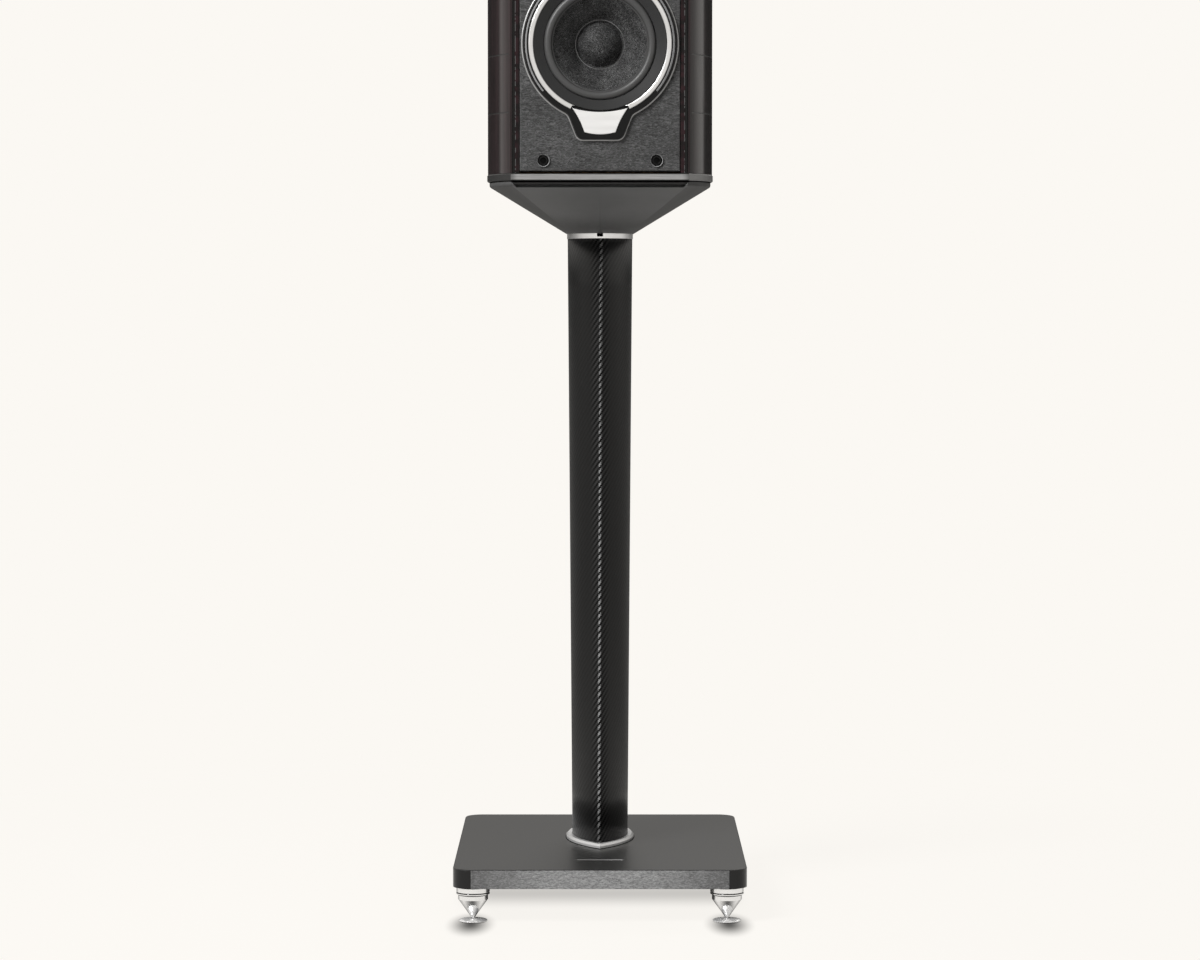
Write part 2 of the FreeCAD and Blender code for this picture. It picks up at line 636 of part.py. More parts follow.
def make_spike(side, end, sign_x, sign_y):
    """Levelling spike with its threaded stud, and the lock ring on the stud."""
    tip = "disc_thickness - dimple_depth + seat_gap"
    ring_top = "base_height - seat_gap"
    ring_foot = f"{ring_top} - lock_ring_thickness"
    shoulder = f"{ring_foot} - spike_neck_height"
    spike = new_body(f"spike_{end}_{side}", f"{sign_y} * {FOOT_Y}")
    bind(spike, "Placement.Base.x", f"{sign_x} * {FOOT_X}")
    spin(spike, [("0", tip), ("spike_tip_radius", tip),
                 ("spike_radius", f"{shoulder} - spike_body_height"), ("spike_radius", shoulder),
                 ("spike_neck_radius", shoulder), ("spike_neck_radius", ring_foot),
                 ("stud_radius", ring_foot), ("stud_radius", "base_height + stud_reach"),
                 ("0", "base_height + stud_reach")])
    ring = new_body(f"lock_ring_{end}_{side}", f"{sign_y} * {FOOT_Y}")
    bind(ring, "Placement.Base.x", f"{sign_x} * {FOOT_X}")
    hole = "stud_radius + thread_clearance"
    spin(ring, [(hole, ring_foot), ("lock_ring_radius - lock_ring_edge", ring_foot),
                ("lock_ring_radius", f"{ring_foot} + lock_ring_edge"),
                ("lock_ring_radius", f"{ring_top} - lock_ring_edge"),
                ("lock_ring_radius - lock_ring_edge", ring_top), (hole, ring_top)])


def make_inserts():
    body = new_body("spike_inserts", z="base_height")
    sketch = new_sketch(body)
    at_feet(sketch, "insert_radius")
    at_feet(sketch, "stud_radius + thread_clearance")
    pad(body, sketch, "insert_depth")


def make_base_bolts():
    body = new_body("base_bolts", z="base_height + head_play")
    heads = new_sketch(body)
    bolt_spots(heads, "base_bolt_head_radius")
    pad(body, heads, "base_bolt_head_height")
    shanks = new_sketch(body)
    bolt_spots(shanks, "base_bolt_radius")
    pad(body, shanks, "base_thickness - head_play + base_bolt_reach")


# ------------------------------------------------------------------ column
def make_foot_ring():
    body = new_body("column_foot_ring", z=BASE_TOP)
    foot = new_sketch(body)
    lens(foot, "-foot_ring_margin")
    pad(body, foot, "foot_ring_thickness - foot_ring_bevel")
    shoulder = new_sketch(body, offset="foot_ring_thickness - foot_ring_bevel")
    lens(shoulder, "-foot_ring_margin")
    top = new_sketch(body, offset="foot_ring_thickness")
    lens(top, "foot_ring_bevel - foot_ring_margin")
    loft(body, [shoulder, top])
    seat = new_sketch(body, offset="foot_ring_thickness")
    lens(seat, "-ring_fit")
    pocket(body, seat, "ring_rebate")
    holes = new_sketch(body)
    tie_and_bolts(holes, "tie_rod_radius + bolt_play", "base_bolt_radius + bolt_play")
    pocket(body, holes, "foot_ring_thickness", backward=True)


def lens_prism(label, inset):
    """Two leaning round walls of the column, each a cone, and what they share."""
    walls = []
    for side in (-1, 1):
        wall = doc.addObject("Part::Cone", f"{label}_wall")
        wall.Placement = Placement(Vector(), Rotation(Vector(0, 0, 1), 90 * (1 - side)))
        bind(wall, "Radius1", f"{COLUMN_BOW} - ({inset})")
        bind(wall, "Radius2", f"{COLUMN_BOW} - ({inset}) + column_flare")
        bind(wall, "Height", "column_height")
        bind(wall, "Placement.Base.x", f"{side} * ({COLUMN_BOW} - column_width / 2)")
        bind(wall, "Placement.Base.y", COLUMN_Y)
        walls.append(wall)
    shared = doc.addObject("Part::MultiCommon", label)
    shared.Shapes = walls
    return shared


def make_column_tube():
    tube = doc.addObject("Part::Cut", "column_tube")
    tube.Label = "column_tube"
    tube.Base = lens_prism("column_outside", "0")
    tube.Tool = lens_prism("column_hollow", "column_wall")
    bind(tube, "Placement.Base.z", COLUMN_FOOT)
    pieces.append(tube)


def make_block(label, z, inset, bolts):
    body = new_body(label, z=z)
    sketch = new_sketch(body)
    lens(sketch, inset)
    circle(sketch, "0", COLUMN_Y, "tie_rod_radius + bolt_play")
    pad(body, sketch, "block_height")
    if bolts:
        holes = new_sketch(body)
        bolt_spots(holes, "base_bolt_radius + thread_clearance")
        pocket(body, holes, "base_bolt_reach", backward=True)


def make_head_ring():
    body = new_body("column_head_ring", z=f"{COLUMN_HEAD} - ring_rebate")
    outside = "-(column_flare + head_ring_margin)"
    sketch = new_sketch(body)
    lens(sketch, outside)
    pad(body, sketch, "head_ring_thickness")
    seat = new_sketch(body)
    lens(seat, "-(column_flare + ring_fit)")
    pocket(body, seat, "ring_rebate", backward=True)
    holes = new_sketch(body)
    circle(holes, "0", COLUMN_Y, "tie_rod_radius + bolt_play")
    pocket(body, holes, "head_ring_thickness", backward=True)
    notch = new_sketch(body, offset="head_ring_thickness")
    circle(notch, "0", f"{COLUMN_Y} - {lens_tip(outside)}", "head_ring_notch")
    pocket(body, notch, "head_ring_notch_depth")


def make_tie_rod():
    """Clamps neck, column and base together; a nut sits in a counterbore at each end."""
    body = new_body("column_tie_rod", COLUMN_Y)
    low = "base_height + head_play"
    high = f"{NECK_FOOT} + tie_nut_seat"
    spin(body, [("0", low), ("tie_nut_radius", low), ("tie_nut_radius", f"{low} + tie_nut_height"),
                ("tie_rod_radius", f"{low} + tie_nut_height"), ("tie_rod_radius", high),
                ("tie_nut_radius", high), ("tie_nut_radius", f"{high} + tie_nut_height"),
                ("0", f"{high} + tie_nut_height")])


# ------------------------------------------------------------------ neck
def stud_spots(sketch, radius):
    for side in ("-", ""):
        for y in ("cabinet_front_y + stud_bolt_front", f"{BACK_Y} - stud_bolt_rear"):
            circle(sketch, f"{side}stud_bolt_side", y, radius)


def make_neck():
    """Spreads from the column's pointed section to the cabinet's plan, with creased corners."""
    body = new_body("stand_neck", z=NECK_FOOT)
    foot = new_sketch(body)
    half = "column_length / 2"
    lens_with_shoulders(foot, "-(column_flare + neck_margin)",
                        f"({half} - neck_nose)", f"({half} - neck_heel)")
    front = "cabinet_front_y + neck_inset"
    back = f"{BACK_Y} - neck_inset"
    shoulder = new_sketch(body, offset="neck_height")
    plan(shoulder, "neck_inset", front, back)
    loft(body, [foot, shoulder])
    rim = new_sketch(body, offset="neck_height")
    plan(rim, "neck_inset", front, back)
    pad(body, rim, "neck_rim")
    doc.recompute()
    crease = value("neck_height")
    dress(body, "Fillet", "neck_round", lambda edge: level(edge, crease))
    recess = new_sketch(body, "XZ_Plane", offset=f"-{RECESS_BACK_Y}")
    top = "neck_height + neck_rim"
    floor = f"{top} - recess_height"
    above = f"{top} + joint_gap"
    outline(recess, [("-recess_half_bottom", floor), ("recess_half_bottom", floor),
                     ("recess_half_top", above), ("-recess_half_top", above)])
    pocket(body, recess, "recess_depth + neck_inset", backward=True)
    studs = new_sketch(body, offset=top)
    stud_spots(studs, "stud_bolt_radius + thread_clearance")
    pocket(body, studs, "stud_bolt_sink")
    rod = new_sketch(body)
    circle(rod, "0", COLUMN_Y, "tie_rod_radius + bolt_play")
    pocket(body, rod, top, backward=True)
    nut = new_sketch(body, offset=top)
    circle(nut, "0", COLUMN_Y, "tie_nut_radius + head_play")
    pocket(body, nut, f"{top} - tie_nut_seat")


def make_neck_strip():
    """Lies in the recess, against its back; its ends slope with the recess."""
    body = new_body("neck_front_strip", f"{RECESS_BACK_Y} - strip_play")
    foot = f"({NECK_TOP} - strip_drop - strip_thickness)"
    top = f"({NECK_TOP} - strip_drop)"
    slope = "(recess_half_top - recess_half_bottom) / (recess_height + joint_gap)"
    def end(height):
        return f"(recess_half_bottom + ({height} - {NECK_TOP} + recess_height) * {slope} - strip_play)"
    sketch = new_sketch(body, "XZ_Plane")
    outline(sketch, [(f"-{end(foot)}", foot), (end(foot), foot), (end(top), top), (f"-{end(top)}", top)])
    pad(body, sketch, f"{RECESS_BACK_Y} - strip_play - (cabinet_front_y + neck_inset + strip_setback)")


def make_cabinet_studs():
    body = new_body("cabinet_studs", z=f"{NECK_TOP} - stud_bolt_sink")
    nut_seat = "stud_bolt_sink + cabinet_gap + plate_thickness + joint_gap + floor_thickness"
    rods = new_sketch(body)
    stud_spots(rods, "stud_bolt_radius")
    pad(body, rods, f"{nut_seat} + stud_bolt_nut_height")
    nuts = new_sketch(body, offset=nut_seat)
    stud_spots(nuts, "stud_bolt_nut_radius")
    pad(body, nuts, "stud_bolt_nut_height")


# ------------------------------------------------------------------ cabinet
def make_end_plate(label, z, holes):
    body = new_body(label, z=z)
    sketch = new_sketch(body)
    plan(sketch, "-plate_proud", "cabinet_front_y - plate_proud", f"{BACK_Y} + plate_proud")
    if holes:
        stud_spots(sketch, "stud_bolt_radius + bolt_play")
    pad(body, sketch, "plate_thickness")
    def on_rim(edge):
        flat = level(edge, 0) or level(edge, value("plate_thickness"))
        return flat and not edge.isClosed()
    dress(body, "Chamfer", "plate_edge", on_rim)


def make_inner_board(label, z, thickness, holes=False, window=False):
    body = new_body(label, z=z)
    sketch = new_sketch(body)
    plan(sketch, "wall + joint_gap", f"{BAFFLE_BACK_Y} + joint_gap", WALL_BACK_Y)
    if holes:
        stud_spots(sketch, "stud_bolt_radius + bolt_play")
    if window:
        circle(sketch, "0", "cabinet_front_y + brace_setback", "brace_window")
    pad(body, sketch, thickness)


def make_baffle():
    body = new_body("front_baffle")
    face = "-cabinet_front_y"
    sketch = new_sketch(body, "XZ_Plane", offset=face)
    low = f"{WALL_FOOT} + baffle_shadow"
    high = f"{WALL_FOOT} + {WALL_HEIGHT} - baffle_shadow"
    rectangle(sketch, "-baffle_half", "baffle_half", low, high)
    pad(body, sketch, "baffle_thickness", backward=True)
    front = value("cabinet_front_y")
    dress(body, "Fillet", "baffle_edge", lambda edge: abs(edge.BoundBox.YMax - front) < TOUCHING)
    mouths = new_sketch(body, "XZ_Plane", offset=face)
    circle(mouths, "0", "woofer_z", "surround_outer + 2 * basket_wall + mouth_margin")
    circle(mouths, "0", "tweeter_z", "tweeter_magnet_radius + mouth_margin")
    socket_spots(mouths, "socket_body_radius + thread_clearance")
    pocket(body, mouths, "baffle_thickness")
    rebates = new_sketch(body, "XZ_Plane", offset=face)
    circle(rebates, "0", "woofer_z", "flange_radius + flange_play")
    pocket(body, rebates, "flange_thickness + flange_sink")
    face_rebate = new_sketch(body, "XZ_Plane", offset=face)
    circle(face_rebate, "0", "tweeter_z", "faceplate_radius + joint_gap")
    pocket(body, face_rebate, "faceplate_thickness - faceplate_proud")


def socket_spots(sketch, radius):
    for side in ("-", ""):
        for z in ("socket_low_z", "socket_high_z"):
            circle(sketch, f"{side}socket_side", z, radius)


def make_sockets():
    body = new_body("grille_sockets")
    face = "-cabinet_front_y"
    shanks = new_sketch(body, "XZ_Plane", offset=face)
    socket_spots(shanks, "socket_body_radius")
    pad(body, shanks, "socket_depth", backward=True)
    rims = new_sketch(body, "XZ_Plane", offset=face)
    socket_spots(rims, "socket_radius")
    pad(body, rims, "socket_rim")
    rim_face = value("cabinet_front_y - socket_rim")
    dress(body, "Chamfer", "socket_rim * 0.6", lambda edge: abs(edge.BoundBox.YMax - rim_face) < TOUCHING)
    bores = new_sketch(body, "XZ_Plane", offset=f"{face} + socket_rim")
    socket_spots(bores, "socket_bore")
    pocket(body, bores, "socket_bore_depth + socket_rim")


def make_strip(label, side):
    """Solid corner strip between the baffle and the curved wall."""
    body = new_body(label, z=f"{WALL_FOOT} + joint_gap")
    sketch = new_sketch(body)
    inner = f"{side} * (baffle_half + joint_gap)"
    outer = f"{side} * (front_half - wall_nose)"
    rectangle(sketch, inner, outer, "cabinet_front_y", BAFFLE_BACK_Y)
    pad(body, sketch, f"{WALL_HEIGHT} - 2 * joint_gap")
    front = value("cabinet_front_y")
    dress(body, "Fillet", "strip_edge",
          lambda edge: upright(edge) and abs(edge.BoundBox.YMin - front) < TOUCHING)


def make_wall(label, side):
    body = new_body(label, z=f"{WALL_FOOT} + joint_gap")
    sketch = new_sketch(body)
    rebate = ("front_half - wall_nose + joint_gap", f"{BAFFLE_BACK_Y} + joint_gap")
    flank(sketch, side, "0", "wall", "cabinet_front_y + wall_nose", WALL_BACK_Y, rebate)
    height = f"{WALL_HEIGHT} - 2 * joint_gap"
    pad(body, sketch, height)
    slot = new_sketch(body, offset="inlay_first - joint_gap")
    flank(slot, side, "-inlay_depth", "inlay_depth", INLAY_FRONT_Y, WALL_BACK_Y)
    cut = pocket(body, slot, "inlay_height", backward=True)
    rows(body, cut)


def rows(body, feature):
    """Copy a feature up the wall at the inlay spacing."""
    pattern = body.newObject("PartDesign::LinearPattern", f"{body.Label}_rows")
    pattern.Originals = [feature]
    pattern.Direction = (origin_item(body, "Z_Axis"), [""])
    bind(pattern, "Length", "inlay_pitch * (inlay_lines - 1)")
    bind(pattern, "Occurrences", "inlay_lines")
    body.Tip = pattern


def make_inlays():
    body = new_body("wall_inlays", z=f"{WALL_FOOT} + inlay_first")
    sketch = new_sketch(body)
    for side in (1, -1):
        flank(sketch, side, "0", "inlay_depth", INLAY_FRONT_Y, WALL_BACK_Y)
    rows(body, pad(body, sketch, "inlay_height"))


def make_spine():
    body = new_body("rear_spine", z=f"{WALL_FOOT} + joint_gap")
    sketch = new_sketch(body)
    front = f"{BACK_Y} - spine_thickness"
    middle = f"{BACK_Y} - spine_thickness / 2"
    right = [(flank_x(REAR_BOW, "0", y), y) for y in (front, middle, BACK_Y)]
    left = [point_left(point) for point in right]
    outline(sketch, [right[0], right[1] + right[2], left[2], left[1] + left[0]])
    pad(body, sketch, f"{WALL_HEIGHT} - 2 * joint_gap")
    holes = new_sketch(body, "XZ_Plane", offset=f"-{BACK_Y}")
    foot = f"({WALL_FOOT} + joint_gap)"
    circle(holes, "0", f"port_z - {foot}", "port_radius + port_wall + joint_gap")
    reach = "sqrt(post_side^2 + post_rise^2) + post_radius"
    circle(holes, "0", f"terminal_z - {foot}", f"{reach} + mouth_margin")
    pocket(body, holes, "spine_thickness", backward=True)


def make_wadding():
    """Damping on both side walls, one pad each."""
    body = new_body("wall_wadding", z="wadding_z")
    sketch = new_sketch(body)
    for side in (1, -1):
        flank(sketch, side, "wall + seat_gap", "wall + wadding_thickness",
              "cabinet_front_y + wadding_front", f"{BACK_Y} - wadding_rear")
    pad(body, sketch, "wadding_height")


# ------------------------------------------------------------------ woofer
def ring_profile(inner, outer, foot, top):
    """Section of a bright ring: upright sides and a raised top with sloped shoulders."""
    shoulder = f"({foot}) * 0.4 + ({top}) * 0.6"
    slope = f"(({outer}) - ({inner})) / 4"
    return [(inner, foot), (outer, foot), (outer, shoulder), (f"({outer}) - {slope}", top),
            (f"({inner}) + {slope}", top), (inner, shoulder)]


def make_woofer_trim():
    body = front_body("woofer_trim", "woofer_z")
    hole = "surround_outer + seat_gap"
    top = "woofer_trim_height"
    disc = new_sketch(body)
    circle(disc, "0", "0", "woofer_trim_radius")
    pad(body, disc, top)
    tab = new_sketch(body)
    outline(tab, [("-tab_half_bottom", "-tab_drop"), ("tab_half_bottom", "-tab_drop"),
                  ("tab_half_top", "-tab_root"), ("-tab_half_top", "-tab_root")])
    pad(body, tab, top)
    doc.recompute()
    below = -value("tab_root")
    dress(body, "Fillet", "tab_root_fillet", lambda edge: upright(edge) and edge.BoundBox.YMax < below
          and edge.BoundBox.YMax > -value("woofer_trim_radius"))
    dress(body, "Fillet", "tab_fillet",
          lambda edge: upright(edge) and abs(edge.BoundBox.YMax + value("tab_drop")) < TOUCHING)
    dress(body, "Chamfer", "trim_edge",
          lambda edge: level(edge, value(top)) and edge.Length > value("trim_edge") * 2)
    mouth = new_sketch(body, offset=top)
    circle(mouth, "0", "0", hole)
    pocket(body, mouth, top)
    groove(body, [(hole, f"{top} - trim_dish"), ("woofer_ring_inner - ring_play", top),
                  ("woofer_ring_inner - ring_play", f"{top} + joint_gap"), (hole, f"{top} + joint_gap")])
    floor = f"{top} - ring_channel"
    groove(body, [("woofer_ring_inner - ring_play", floor), ("woofer_ring_outer + ring_play", floor),
                  ("woofer_ring_outer + ring_play", f"{top} + joint_gap"),
                  ("woofer_ring_inner - ring_play", f"{top} + joint_gap")])
    label = new_sketch(body, offset=top)
    label_outline(label, "ring_play")
    pocket(body, label, "ring_channel")


def label_outline(sketch, margin):
    """Shield shape: hollow top along the ring, hollow sides, bowed foot."""
    top = f"-(label_top - {margin})"
    waist = f"-(label_waist + {margin})"
    side = (f"label_half_waist + {margin}", "-label_middle")
    outline(sketch, [("0", f"-(label_bow - {margin})", f"label_half_top + {margin}", top),
                     side + (f"label_half_bottom + {margin}", waist),
                     ("0", f"-(label_foot + {margin})", f"-(label_half_bottom + {margin})", waist),
                     (f"-({side[0]})", side[1], f"-(label_half_top + {margin})", top)])


def make_woofer_rings():
    ring = front_body("woofer_bright_ring", "woofer_z")
    foot = "woofer_trim_height - ring_channel + ring_play"
    top = "woofer_trim_height + ring_proud"
    spin(ring, ring_profile("woofer_ring_inner", "woofer_ring_outer", foot, top))
    doc.recompute()
    gap = new_sketch(ring, offset=foot)
    slope = "(label_half_top + label_gap) / label_top"
    near = "woofer_ring_inner - woofer_trim_height"
    far = "woofer_ring_outer + woofer_trim_height"
    outline(gap, [(f"-{slope} * ({far})", f"-({far})"), (f"{slope} * ({far})", f"-({far})"),
                  (f"{slope} * ({near})", f"-({near})"), (f"-{slope} * ({near})", f"-({near})")])
    pocket(ring, gap, "woofer_trim_height", backward=True)
    label = front_body("woofer_label_plate", "woofer_z")
    sketch = new_sketch(label, offset=foot)
    label_outline(sketch, "0")
    pad(label, sketch, "ring_channel + ring_proud - ring_play")
    dress(label, "Chamfer", "ring_proud", lambda edge: level(edge, value(top)))


def make_basket():
    body = front_body("woofer_basket", "woofer_z")
    face = "-flange_sink"
    flange = f"{face} - flange_thickness"
    lip = "surround_outer + seat_gap"
    foot = "-basket_depth"
    ledge = "-(spider_depth + spider_wall + ring_play)"
    hub = "coil_outer + coil_gap + basket_wall"
    spin(body, [(lip, face), ("flange_radius", face), ("flange_radius", flange),
                ("surround_outer + 2 * basket_wall", flange),
                ("spider_outer + basket_wall + mouth_margin", "-spider_depth"),
                ("spider_outer + basket_wall + mouth_margin", f"{ledge} - basket_wall"),
                ("basket_throat + basket_wall", foot), (hub, foot), (hub, f"{foot} + basket_wall"),
                ("basket_throat", f"{foot} + basket_wall"), ("basket_throat", ledge),
                ("spider_outer + seat_gap", ledge), ("spider_outer + mouth_margin", "-spider_depth + mouth_margin"),
                ("surround_outer + basket_wall", flange), (lip, flange)])
    doc.recompute()
    window = new_sketch(body, offset=f"{flange} - mouth_margin")
    rectangle(window, "-basket_window", "basket_window", "spider_outer + 2 * mouth_margin",
              "surround_outer + 2 * basket_wall")
    cut = pocket(body, window, f"spider_depth + {flange} - mouth_margin")
    repeat(body, cut, "basket_arms")


def make_magnet():
    body = front_body("woofer_magnet", "woofer_z")
    front = "-(basket_depth + ring_play)"
    back = "-(basket_depth + magnet_height)"
    slot = f"{back} + magnet_back"
    plate = f"{front} - magnet_top"
    spin(body, [("coil_outer + coil_gap", front), ("magnet_radius", front), ("magnet_radius", back),
                ("0", back), ("0", front), ("coil_inner - coil_gap", front),
                ("coil_inner - coil_gap", slot), ("coil_outer + magnet_top", slot),
                ("coil_outer + magnet_top", plate), ("coil_outer + coil_gap", plate)])


# round profiles are made as this many flats
ROLL_FLATS = 6
CAP_FLATS = 4
CONE_FLATS = 3
CONE_EDGE = "-(surround_sink + surround_wall + ring_play)"
CONE_NECK = f"({CONE_EDGE} - cone_depth)"
CONE_BACK = f"({CONE_NECK} - cone_neck_wall)"


def cone_front(radius):
    """Height of the cone's front near a radius: its chord, bowed forward."""
    part = f"((({radius}) - cone_neck) / (cone_outer - cone_neck))"
    return f"({CONE_NECK} + cone_depth * {part} + 4 * cone_belly * {part} * (1 - {part}))"


def make_cone():
    body = front_body("woofer_cone", "woofer_z")
    shares = [step / CONE_FLATS for step in range(1, CONE_FLATS)]
    between = [f"(cone_neck + (cone_outer - cone_neck) * {share})" for share in shares]
    front = [(radius, cone_front(radius)) for radius in between]
    back = [(radius, f"{height} - cone_wall") for radius, height in front]
    spin(body, front + [("cone_outer", CONE_EDGE), ("cone_outer", f"{CONE_EDGE} - cone_wall")] + back[::-1]
         + [("cone_neck", CONE_BACK), ("cone_neck", CONE_NECK)])


def cap(foot, radius, height):
    """Points over a round cap from its crown to its rim, as flats, without the crown itself."""
    ball = f"((({radius})^2 + ({height})^2) / (2 * ({height})))"
    outs = [f"({radius}) * {step / CAP_FLATS}" for step in range(1, CAP_FLATS)]
    heights = [f"({foot}) + ({height}) - {ball} + sqrt({ball}^2 - ({out})^2)" for out in outs]
    return list(zip(outs, heights)) + [(radius, foot)]


def make_dust_dome():
    body = front_body("woofer_dust_dome", "woofer_z")
    lip = "dome_radius + dome_lip"
    rim = f"{cone_front('dome_radius')} + seat_gap"
    lip_z = f"{cone_front(lip)} + seat_gap"
    crown = f"{rim} + dome_height"
    over = cap(f"{rim} + cone_wall", "dome_radius", "dome_height - cone_wall")
    under = cap(rim, "dome_radius - cone_wall", "dome_height - cone_wall")
    spin(body, over + [(lip, f"{lip_z} + cone_wall / 2"), (lip, lip_z)] + under[::-1]
         + [("0", f"{crown} - cone_wall"), ("0", crown)])


def roll(inner, outer, foot, height):
    """Points over a half roll from its inner to its outer edge, as flats."""
    middle = f"(({inner}) + ({outer})) / 2"
    reach = f"(({outer}) - ({inner})) / 2"
    angles = [180 * step / ROLL_FLATS for step in range(1, ROLL_FLATS)]
    over = [(f"{middle} - {reach} * cos({angle})", f"({foot}) + ({height}) * sin({angle})")
            for angle in angles]
    return [(inner, foot)] + over + [(outer, foot)]


def make_surround():
    body = front_body("woofer_surround", "woofer_z")
    top = "-surround_sink"
    foot = f"{top} - surround_wall"
    edge = "surround_outer + surround_lip"
    bond = "cone_outer - surround_bond"
    over = roll("cone_outer", "surround_outer", top, "surround_height")
    under = roll("cone_outer + surround_wall", "surround_outer - surround_wall", foot, "surround_height")
    spin(body, [(edge, top), (edge, foot)] + under[::-1] + [(bond, foot), (bond, top)] + over)


def make_voice_coil():
    body = front_body("woofer_voice_coil", "woofer_z")
    top = f"{CONE_BACK} - ring_play"
    foot = f"{top} - coil_length"
    spin(body, [("coil_inner", foot), ("coil_outer", foot), ("coil_outer", top), ("coil_inner", top)])


def make_spider():
    """Corrugated disc between the voice coil and the basket."""
    body = front_body("woofer_spider", "woofer_z")
    inner = "(coil_outer + thread_clearance)"
    waves = 4
    upper = []
    for step in range(waves + 1):
        radius = f"{inner} + (spider_outer - {inner}) * {step} / {waves}"
        height = "-spider_depth" if step % 2 == 0 else "-spider_depth + spider_wave"
        upper.append((radius, height))
    lower = [(radius, f"{height} - spider_wall") for radius, height in reversed(upper)]
    spin(body, upper + lower)


# ------------------------------------------------------------------ tweeter
def make_tweeter_trim():
    body = front_body("tweeter_trim", "tweeter_z")
    top = "woofer_trim_height"
    hole = "faceplate_radius + seat_gap"
    spin(body, [(hole, "0"), ("tweeter_trim_radius", "0"), ("tweeter_trim_radius", f"{top} - trim_edge"),
                ("tweeter_trim_radius - trim_edge", top), ("tweeter_ring_inner", top),
                (hole, f"{top} - trim_dish / 2")])
    floor = f"{top} - ring_channel"
    groove(body, [("tweeter_ring_inner - ring_play", floor), ("tweeter_ring_outer + ring_play", floor),
                  ("tweeter_ring_outer + ring_play", f"{top} + joint_gap"),
                  ("tweeter_ring_inner - ring_play", f"{top} + joint_gap")])
    ring = front_body("tweeter_bright_ring", "tweeter_z")
    spin(ring, ring_profile("tweeter_ring_inner", "tweeter_ring_outer", f"{floor} + ring_play",
                            f"{top} + ring_proud"))


DOME_FOOT = "(faceplate_proud - horn_depth + tweeter_dome_wall)"
DOME_EDGE = "(tweeter_dome_radius + tweeter_roll)"


def make_faceplate():
    body = front_body("tweeter_faceplate", "tweeter_z")
    top = "faceplate_proud"
    foot = f"{top} - faceplate_thickness"
    hole = f"({DOME_EDGE} + seat_gap)"
    spin(body, [(hole, foot), ("faceplate_radius", foot), ("faceplate_radius", top), ("horn_radius", top),
                (f"({hole} + horn_radius) / 2", f"{top} - horn_depth * 0.7"), (hole, f"{top} - horn_depth")])


def make_tweeter_dome():
    body = front_body("tweeter_dome", "tweeter_z")
    wall = "tweeter_dome_wall"
    foot = DOME_FOOT
    below = f"({foot} - {wall})"
    crown = f"{foot} + tweeter_dome_height"
    over = roll("tweeter_dome_radius", DOME_EDGE, foot, "tweeter_roll / 2")
    under = roll(f"tweeter_dome_radius + {wall}", f"{DOME_EDGE} - {wall}", below, "tweeter_roll / 2")
    dome = cap(foot, "tweeter_dome_radius", "tweeter_dome_height")
    inside = cap(below, f"tweeter_dome_radius - {wall}", "tweeter_dome_height")
    spin(body, dome + over[1:] + [(DOME_EDGE, below)] + under[::-1] + inside[::-1]
         + [("0", f"{crown} - {wall}"), ("0", crown)])
    coil = front_body("tweeter_voice_coil", "tweeter_z")
    top = f"{foot} - {wall} - ring_play"
    inner = "tweeter_dome_radius - tweeter_coil_wall"
    spin(coil, [(inner, f"{top} - tweeter_coil_length"),
                ("tweeter_dome_radius", f"{top} - tweeter_coil_length"), ("tweeter_dome_radius", top),
                (inner, top)])


def make_tweeter_magnet():
    body = front_body("tweeter_magnet", "tweeter_z")
    front = "faceplate_proud - faceplate_thickness - ring_play"
    back = f"{front} - tweeter_magnet_height"
    slot = f"{front} - tweeter_gap_depth"
    inner = "tweeter_dome_radius - tweeter_coil_wall - tweeter_gap"
    outer = "tweeter_dome_radius + tweeter_gap"
    spin(body, [("0", back), ("tweeter_magnet_radius", back), ("tweeter_magnet_radius", front),
                (outer, front), (outer, slot), (inner, slot), (inner, front), ("0", front)])


# ------------------------------------------------------------------ port and terminals
def make_port():
    body = rear_body("port_tube", "port_z")
    tube = "port_radius + port_wall"
    spin(body, [("port_radius", "-port_length"), (tube, "-port_length"), (tube, "joint_gap"),
                ("port_flare", "joint_gap"), ("port_flare", "port_rim / 2"),
                ("port_flare - port_rim / 2", "port_rim"),
                ("port_radius + port_rim", "port_rim"),
                ("port_radius + port_rim * 0.3", "port_rim * 0.7"), ("port_radius", "0")])


def post_spots(sketch, radius):
    for x in ("-post_side", "post_side"):
        for y in ("-post_rise", "post_rise"):
            circle(sketch, x, y, radius)


def make_terminals():
    plate = rear_body("terminal_plate", "terminal_z")
    sketch = new_sketch(plate, offset="joint_gap")
    rectangle(sketch, "-terminal_half_width", "terminal_half_width",
              "-terminal_half_height", "terminal_half_height")
    pad(plate, sketch, "terminal_thickness")
    dress(plate, "Fillet", "terminal_corner", upright)
    holes = new_sketch(plate, offset="terminal_thickness + joint_gap")
    post_spots(holes, "post_radius + thread_clearance")
    pocket(plate, holes, "terminal_thickness")
    posts = rear_body("terminal_posts", "terminal_z")
    face = "terminal_thickness + joint_gap"
    tails = new_sketch(posts, offset="-post_tail")
    post_spots(tails, "post_radius")
    pad(posts, tails, f"post_tail + {face} + post_length")
    collars = new_sketch(posts, offset=face)
    post_spots(collars, "post_collar_radius")
    pad(posts, collars, "post_collar")
    bores = new_sketch(posts, offset=f"{face} + post_length")
    post_spots(bores, "post_bore")
    pocket(posts, bores, "post_bore_depth")


